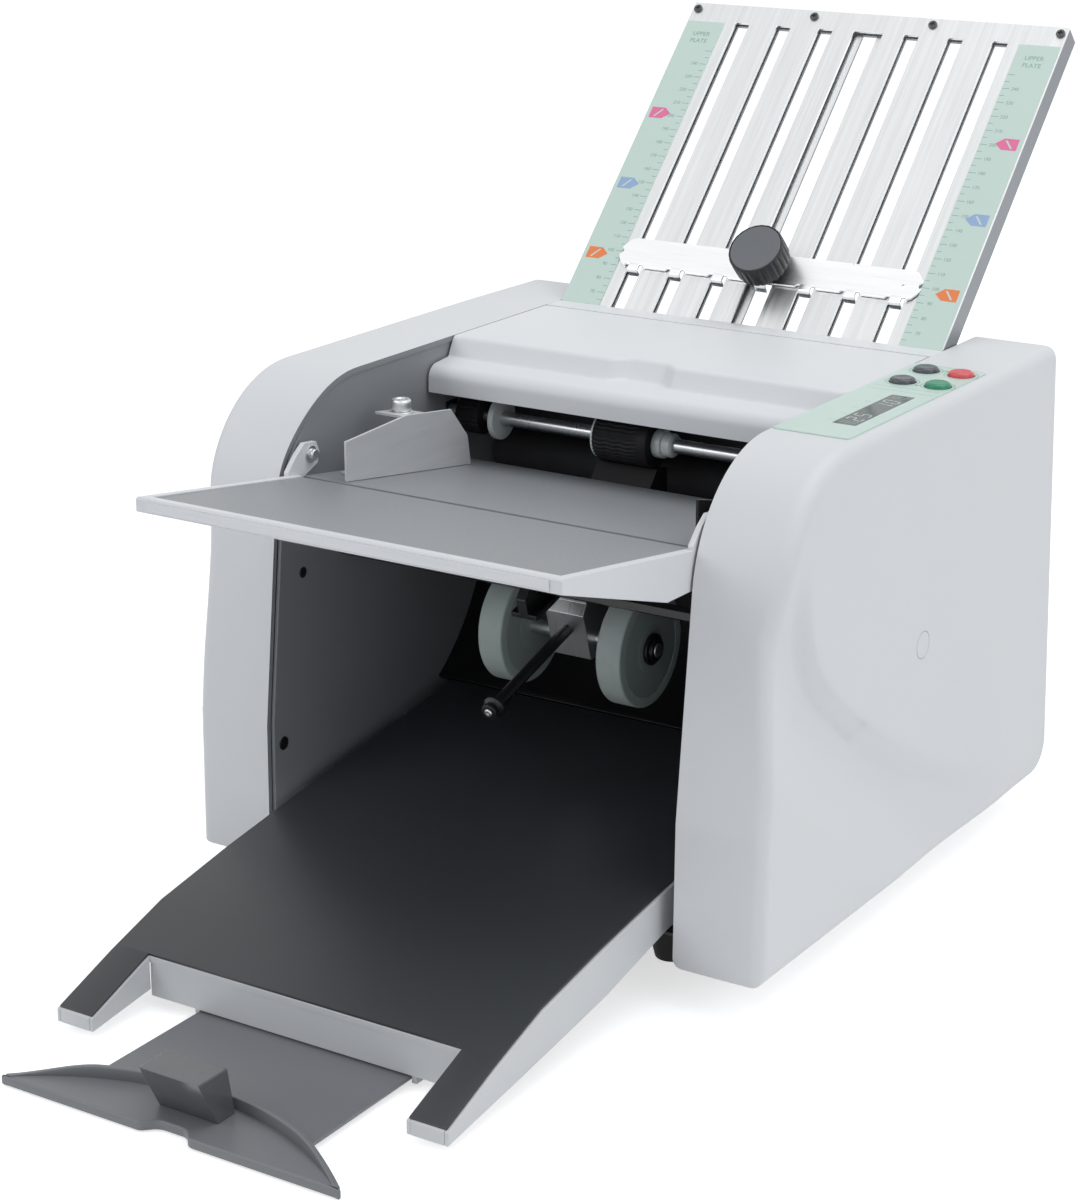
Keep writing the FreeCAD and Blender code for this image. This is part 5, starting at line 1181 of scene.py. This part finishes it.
def crescent(half, front, rear):
    """Outline of the tray end: rear arc, rounded tips and a straight front with a thumb notch."""
    dip = front + 6.4
    thumb = (corner_arc((-40, front), (-14, front), (-9, front + 7), 5, 5)
             + corner_arc((-14, front), (-8.5, dip), (8.5, dip), 8, 6)
             + corner_arc((-8.5, dip), (8.5, dip), (14, front), 8, 6)
             + corner_arc((8.5, dip), (14, front), (40, front), 5, 5))
    left = corner_arc(rear[-1], (-half + 0.2, front), (-40, front), 1.0, 5)
    tip = left[-1]
    # The front edge has points along it, so that its faces stay short.
    left += [tip.lerp(Vector((-40, front)), step / 8) for step in range(1, 8)]
    return left + thumb + [Vector((-spot.x, spot.y)) for spot in left[::-1]] + rear


class FOLDER_OT_tray_end(bpy.types.Operator):
    """Mould the crescent tray end with its rim, thumb notch and tongue"""
    bl_idname = "folder.tray_end"
    bl_label = "Tray End"

    def execute(self, context):
        half, front, arc, foot = 100.8, -252.85, 156.0, 4.4
        centre = front - math.sqrt(arc ** 2 - half ** 2)
        rear = bow(arc, half - 2.6, centre)
        bm = bmesh.new()
        add_sheet(bm, [crescent(half, front, rear)], 0.4, 5.4, 1.0)
        rest = set(bm.verts)
        add_sheet(bm, [rear + bow(arc - 2.8, half - 5.6, centre)[::-1]], foot, 11.5, 0.8)
        for vert in set(bm.verts) - rest:
            vert.co.z -= (vert.co.z - foot) * 0.82 * smooth(58, 99, abs(vert.co.x))
        add_sheet(bm, [window(-64, -233, 64, -84, 3)], 2.9, 4.9, 0.4)
        show("tray_end_moulding", bm, datum(), "tray_extension", "grey_plastic", "tray_extension",
             angle=34)
        return {"FINISHED"}


# ---------------------------------------------------------------- controls


# Thickness of the control film and of its ink; the counter's window; its seven segments.
FILM, INK = 0.8, 0.03
DISPLAY = (146.8, 106.05, 160.2, 174.95)
SEGMENTS = {"a": ((0, 2), (1, 2)), "b": ((1, 1), (1, 2)), "c": ((1, 0), (1, 1)), "d": ((0, 0), (1, 0)),
            "e": ((0, 0), (0, 1)), "f": ((0, 1), (0, 2)), "g": ((0, 1), (1, 1))}
LIT = {"1": "bc", "2": "abged", "5": "afgcd", "0": "abcdef"}


def seven_segment(bm, figure, left, bottom, wide, tall, low, high):
    """One slanted counter figure, read from the machine's right side."""
    for key in LIT[figure]:
        first, last = [Vector((wide * u, tall / 2 * v)) for u, v in SEGMENTS[key]]
        along = (last - first).normalized()
        off = Vector((-along.y, along.x)) * 0.42
        first, last = first + along * 0.5, last - along * 0.5
        bar = [first - off * 0.9, first - along * 0.4, first + off * 0.9, last + off * 0.9,
               last + along * 0.4, last - off * 0.9]
        add_sheet(bm, [[(left + spot.x + spot.y * 0.16, bottom + spot.y) for spot in bar]], low, high)


def film_print():
    """Rings round the buttons, dividing lines, marks beside the counter and the up and down signs."""
    low, high = BODY_TOP + FILM, BODY_TOP + FILM + INK
    bm = bmesh.new()
    for x, y, _slot in BUTTONS.values():
        add_sheet(bm, [disc(9.3, 48, x, y), disc(8.9, 48, x, y)], low, high)
    for y in (183, 190.5, 245.2):
        add_bar(bm, 128.5, y - 0.12, 166.5, y + 0.12, low, high)
    for y in range(112, 169, 14):
        add_bar(bm, 141.5, y - 0.1, 144.8, y + 0.1, low, high)
    for x, y, up in ((149.3, 236.6, 1), (149.3, 199.4, -1)):
        sign = [(x - 1.8, y - 1.1 * up), (x + 1.8, y - 1.1 * up), (x, y + 1.7 * up)]
        add_sheet(bm, [sign], low, high)
    show("control_film_print", bm, datum(), "machine", "mint_film", coat=grey_ink())


def counter():
    """The counter's dark window with its lit figures and dividing lines."""
    bm = bmesh.new()
    add_sheet(bm, [window(*DISPLAY, 0.8)], BODY_TOP + 0.02, BODY_TOP + 0.64, 0.1)
    show("counter_window", bm, datum(), "machine", "display_glass", "display_window")
    low, high = BODY_TOP + 0.645, BODY_TOP + 0.67
    bm = bmesh.new()
    for left, figure in ((-24.5, "2"), (-15.5, "5"), (8.0, "1"), (17.0, "0")):
        seven_segment(bm, figure, left, -4.4, 4.6, 8.8, low, high)
    for x in (-30, -27.4, 28.4, 31):
        add_bar(bm, x - 0.12, -4.6, x + 0.12, 4.6, low, high)
    bm.transform(Matrix.Translation((153.5, 140.5, 0)) @ Matrix.Rotation(math.pi / 2, 4, "Z"))
    lit = extra("lit_counter_segments", ink, "#c9d8d2", 0.3)
    show("counter_figures", bm, datum(), "machine", "display_glass", coat=lit)


class FOLDER_OT_controls(bpy.types.Operator):
    """Lay the printed film, the counter and the domed buttons on the right cover"""
    bl_idname = "folder.controls"
    bl_label = "Control Strip"

    def execute(self, context):
        left, bottom, right, top = DISPLAY
        gap = 0.05
        holes = [disc(7.55, 48, x, y) for x, y, _slot in BUTTONS.values()]
        holes.insert(0, window(left - gap, bottom - gap, right + gap, top + gap, 0.9))
        bm = bmesh.new()
        add_sheet(bm, [window(126, 82, 168.6, 246, 2.2, 6)] + holes, BODY_TOP, BODY_TOP + FILM, 0.12)
        show("control_film", bm, datum(), "machine", "mint_film", "control_overlay")
        film_print()
        counter()
        for name, (x, y, slot) in BUTTONS.items():
            bm = bmesh.new()
            add_turned(bm, [(0, 273.5), (7, 273.5, 0.2), (7, 280.6, 0.3), (6.7, 282.0, 1.2),
                            (5.2, 282.85, 1.6), (2.6, 282.6, 1.5), (0, 282.5)], 72,
                       Matrix.Translation((x, y, 0)))
            show(f"{name}_cap", bm, datum(), name, slot, name, angle=50)
        return {"FINISHED"}


# ---------------------------------------------------------------- rear and feet


class FOLDER_OT_feet(bpy.types.Operator):
    """Mould the four rubber feet with a soft tread edge and a screw well"""
    bl_idname = "folder.feet"
    bl_label = "Rubber Feet"

    def execute(self, context):
        foot = [(0, 6), (3.6, 6, 0.4), (3.6, 0, 0.6), (8.4, 0, 1.4), (9.6, 5, 2.0), (12.9, 20, 1.2),
                (12.9, 24, 0.4), (0, 24)]
        bm = bmesh.new()
        for x in (-96, 96):
            for y in (42, 306):
                add_turned(bm, foot, 56, Matrix.Translation((x, y, 0)))
        show("moulded_feet", bm, datum(), "machine", "black_rubber", "rubber_feet", angle=40)
        return {"FINISHED"}


class FOLDER_OT_rear_details(bpy.types.Operator):
    """Press the rear panel's vents and fit its slotted screws"""
    bl_idname = "folder.rear_details"
    bl_label = "Rear Vents and Screws"

    def execute(self, context):
        back = Matrix(((-1, 0, 0, 0), (0, 0, 1, REAR_WALL), (0, 1, 0, 0), (0, 0, 0, 1)))
        strip = window(-22, -1.5, 22, 1.5, 1.4, 5)
        bm = bmesh.new()
        for side in (-1, 1):
            for row in range(7):
                spot = Matrix.Translation((side * 78, 206 + 7.0 * row, 0))
                add_sheet(bm, [strip], -0.2, 1.3, 0.5, back @ spot @ Matrix.Rotation(0.16, 4, "X"))
        show("rear_vent_ribs", bm, datum(), "machine", "inner_grey")
        slot = window(-2.4, -0.45, 2.4, 0.45)
        bm = bmesh.new()
        for z in (40, 150, 256):
            for x in (-119, 119):
                spot = back @ Matrix.Translation((x, z, 0))
                add_sheet(bm, [disc(3.4, 36)], 0, 0.6, 0.1, spot)
                add_sheet(bm, [disc(3.4, 36), slot], 0.6, 1.7, 0.4, spot)
        show("rear_panel_screws", bm, datum(), "machine", "zinc_steel")
        return {"FINISHED"}


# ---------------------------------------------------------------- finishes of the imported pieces

EDGE_WIDTH = {
    "feed_table": 1.2, "top_bridge": 0.3, "left_guide": 0.35,
    "right_guide": 0.35, "upper_plate_sheet": 0.2, "lower_plate_sheet": 0.2, "upper_plate_frame": 0.3,
    "lower_plate_frame": 0.3, "rear_panel": 0.4, "stop_block": 0.5, "carriage_bracket": 0.3,
    "carriage_rail": 0.5, "base_pan": 0.4, "power_inlet": 0.5, "power_rocker": 0.5,
    "left_side_frame": 0.3, "right_side_frame": 0.3, "table_edge_strip": 0.2, "rear_feed_table": 0.2,
    "delivery_chute": 0.3, "upper_plate_scales": 0.08, "drive_motor": 0.8,
}
SHARP_TURN = 28.0
# The left guide and the table's edge strip take the pale lacquered zinc, whose extra lightness is
# painted light.
PACKED_COATS = {"left_guide": "lacquered_zinc", "table_edge_strip": "lacquered_zinc",
                "cross_ties": "black_steel"}


class FOLDER_OT_packed_finishes(bpy.types.Operator):
    """Give the machine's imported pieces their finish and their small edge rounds"""
    bl_idname = "folder.packed_finishes"
    bl_label = "Finishes of Packed Pieces"

    def execute(self, context):
        for name, slot in SLOTS.items():
            piece = bpy.data.objects[name]
            piece.data.materials.clear()
            piece.data.materials.append(finish_of(PACKED_COATS.get(name, slot)))
            weld = piece.modifiers.new("weld", "WELD")
            weld.merge_threshold = 0.002 * MM
            if name in EDGE_WIDTH:
                bevel(piece, EDGE_WIDTH[name])
        return {"FINISHED"}


# ---------------------------------------------------------------- stage

LAMPS = (("above", (0.6, 0.4, 2.2), (0, 0.05, 0.2), 1.8),
         ("front", (-1.3, -1.9, 1.5), (0, 0, 0.2), 1.4),
         ("side", (2.3, -0.5, 1.2), (0, 0, 0.2), 1.2))
VIEW_SPOT, VIEW_TURN = (0.7658, -1.22669, 0.6357), (71.893178, 0, 32.669395)


def soft_lamp(name, spot, aim, across, power):
    """A large square lamp that faces a point."""
    light = bpy.data.lights.new(name, "AREA")
    light.shape, light.size, light.energy = "SQUARE", across, power
    lamp = bpy.data.objects.new(name, light)
    lamp.location = spot
    lamp.rotation_euler = (Vector(aim) - Vector(spot)).to_track_quat("-Z", "Y").to_euler()
    bpy.context.scene.collection.objects.link(lamp)


def looked_at(tree):
    """1 where the camera, a reflection or a clear piece looks straight at a surface, else 0."""
    path = add(tree, "ShaderNodeLightPath").outputs
    largest = {"operation": "MAXIMUM"}
    first = add(tree, "ShaderNodeMath", largest, (path["Is Camera Ray"], path["Is Glossy Ray"]))
    return add(tree, "ShaderNodeMath", largest,
               (first.outputs[0], path["Is Transmission Ray"])).outputs[0]


def stage_floor():
    """Pale matt floor that keeps the machine's shadow and is white to the eye elsewhere."""
    bm = bmesh.new()
    corners = ((-6, -6), (6, -6), (6, 6), (-6, 6))
    bm.faces.new([bm.verts.new((x, y, -0.0005)) for x, y in corners])
    floor = mesh_object("stage_floor", bm)
    made, tree, shader = start_material("matt_paper_sweep", linear("#f3f3f3"), 0.9)
    glow = add(tree, "ShaderNodeEmission", {"Color": (1, 1, 1, 1), "Strength": 0.62})
    both = add(tree, "ShaderNodeAddShader", feeds=(shader.outputs[0], glow.outputs[0]))
    mix = add(tree, "ShaderNodeMixShader",
              feeds=(looked_at(tree), shader.outputs[0], both.outputs[0]))
    tree.links.new(mix.outputs[0], tree.nodes["Material Output"].inputs["Surface"])
    floor.data.materials.append(made)


def white_world():
    """Even soft light, and plain white where the eye or a reflection meets the background."""
    world = bpy.data.worlds.new("studio")
    world.use_nodes = True
    tree = world.node_tree
    sky = tree.nodes["Background"]
    sky.inputs["Color"].default_value = (0.92, 0.95, 1.0, 1)
    sky.inputs["Strength"].default_value = look().world_light
    white = add(tree, "ShaderNodeBackground", {"Color": (1, 1, 1, 1), "Strength": 1.0})
    mix = add(tree, "ShaderNodeMixShader",
              feeds=(looked_at(tree), sky.outputs[0], white.outputs[0]))
    tree.links.new(mix.outputs[0], tree.nodes["World Output"].inputs["Surface"])
    bpy.context.scene.world = world


class FOLDER_OT_stage(bpy.types.Operator):
    """Set up the pale floor, the soft lamps and the camera"""
    bl_idname = "folder.stage"
    bl_label = "Stage"

    def execute(self, context):
        scene = context.scene
        stage_floor()
        white_world()
        for name, spot, aim, across in LAMPS:
            soft_lamp(f"lamp_{name}", spot, aim, across, getattr(look(), f"{name}_light"))
        lens = bpy.data.cameras.new("view")
        lens.sensor_width, lens.lens = 36.0, look().lens
        lens.clip_start, lens.clip_end = 0.05, 50
        camera = bpy.data.objects.new("view", lens)
        camera.location = VIEW_SPOT
        camera.rotation_euler = [math.radians(turn) for turn in VIEW_TURN]
        scene.collection.objects.link(camera)
        scene.camera = camera
        scene.view_settings.view_transform = "Standard"
        return {"FINISHED"}


# ---------------------------------------------------------------- settings, panel and run


def colour_choice(name, of, code):
    """A colour setting whose default is an sRGB hex code."""
    return FloatVectorProperty(name=name, description=f"Colour of {of}", default=linear(code),
                               size=3, min=0, max=1, subtype="COLOR")


def lamp_power(name, of, power):
    """A lamp's power setting."""
    return FloatProperty(name=name, description=f"Power of {of}", default=power, min=0, max=300,
                         unit="POWER")


class FolderSizes(bpy.types.PropertyGroup):
    knob_flutes: IntProperty(name="Knob Flutes", description="Grip flutes round each clamp knob",
                             default=24, min=8, max=48)
    roller_ribs: IntProperty(name="Roller Ribs", description="Ribs round the feed roller",
                             default=36, min=12, max=60)


class FolderLook(bpy.types.PropertyGroup):
    cover: colour_choice("Covers", "the side covers", "#e3e5e7")
    lid: colour_choice("Top Cover", "the hinged top cover", "#e8eaec")
    table: colour_choice("Feed Table", "the feed table", "#e3e5e8")
    tray: colour_choice("Tray", "the delivery tray", "#dcdee0")
    inner: colour_choice("Inner Panels", "the painted inner sheets", "#8f9296")
    steel: colour_choice("Stainless", "the brushed stainless sheets", "#dcdedf")
    tyre: colour_choice("Tyres", "the delivery wheels' tyres", "#b9c3c0")
    # The wheel cores' grey is the tyres' grey darkened as painted shade on the wheels' side faces.
    wheel_core: colour_choice("Wheel Cores", "the delivery wheels' cores", "#a4afac")
    knob: colour_choice("Knobs", "the clamp knobs' grips", "#1f2123")
    # The caps' grey is partly their own colour and partly painted sheen of the light on the knobs'
    # tops.
    knob_cap: colour_choice("Knob Caps", "the clamp knobs' dished caps", "#6c7074")
    lining: colour_choice("Tray Lining", "the tray's lining", "#35383c")
    tray_end: colour_choice("Tray End", "the crescent tray end", "#7c7e82")
    film: colour_choice("Film", "the control film and scales", "#cfe3da")
    display: colour_choice("Counter", "the counter's window", "#4b5a55")
    start: colour_choice("Start Button", "the start button", "#2f8f6c")
    stop: colour_choice("Stop Button", "the stop button", "#e2545a")
    pink: colour_choice("First Pointer", "the pink fold pointer", "#ee7aa8")
    blue: colour_choice("Second Pointer", "the blue fold pointer", "#9db8dc")
    orange: colour_choice("Third Pointer", "the orange fold pointer", "#f58b54")
    lens: FloatProperty(name="Lens", description="Focal length of the camera", default=84.867,
                        min=20, max=300, subtype="DISTANCE_CAMERA", unit="CAMERA")
    world_light: FloatProperty(name="Room Light", description="Strength of the even room light",
                               default=0.43, min=0, max=3)
    above_light: lamp_power("Top Lamp", "the lamp above", 19)
    front_light: lamp_power("Front Lamp", "the front lamp", 12)
    side_light: lamp_power("Side Lamp", "the side lamp", 7)


BUILD_ORDER = (FOLDER_OT_packed_finishes, FOLDER_OT_side_covers, FOLDER_OT_top_cover,
               FOLDER_OT_fold_stops, FOLDER_OT_plate_print, FOLDER_OT_feed_rollers,
               FOLDER_OT_guide_screw, FOLDER_OT_delivery_wheels, FOLDER_OT_pull_rod,
               FOLDER_OT_delivery_tray, FOLDER_OT_tray_end, FOLDER_OT_table_lining,
               FOLDER_OT_frame_plugs, FOLDER_OT_controls, FOLDER_OT_feet, FOLDER_OT_rear_details,
               FOLDER_OT_stage)


class FOLDER_PT_machine(bpy.types.Panel):
    """Lists the machine's build steps with its colours and sizes"""
    bl_idname = "FOLDER_PT_machine"
    bl_label = "Paper Folding Machine"
    bl_space_type = "VIEW_3D"
    bl_region_type = "UI"
    bl_category = "Paper Folder"

    def draw(self, context):
        column = self.layout.column()
        for step in BUILD_ORDER:
            column.operator(step.bl_idname)
        for group in (context.scene.folder_sizes, context.scene.folder_look):
            for name in type(group).__annotations__:
                column.prop(group, name)


CLASSES = (FolderSizes, FolderLook) + BUILD_ORDER + (FOLDER_PT_machine,)


def register():
    for item in CLASSES:
        bpy.utils.register_class(item)
    bpy.types.Scene.folder_sizes = PointerProperty(type=FolderSizes)
    bpy.types.Scene.folder_look = PointerProperty(type=FolderLook)


def unregister():
    del bpy.types.Scene.folder_look
    del bpy.types.Scene.folder_sizes
    for item in reversed(CLASSES):
        bpy.utils.unregister_class(item)


def main():
    """Build the whole machine around its frame."""
    register()
    for step in BUILD_ORDER:
        group, name = step.bl_idname.split(".")
        getattr(getattr(bpy.ops, group), name)()


if __name__ == "__main__":
    main()
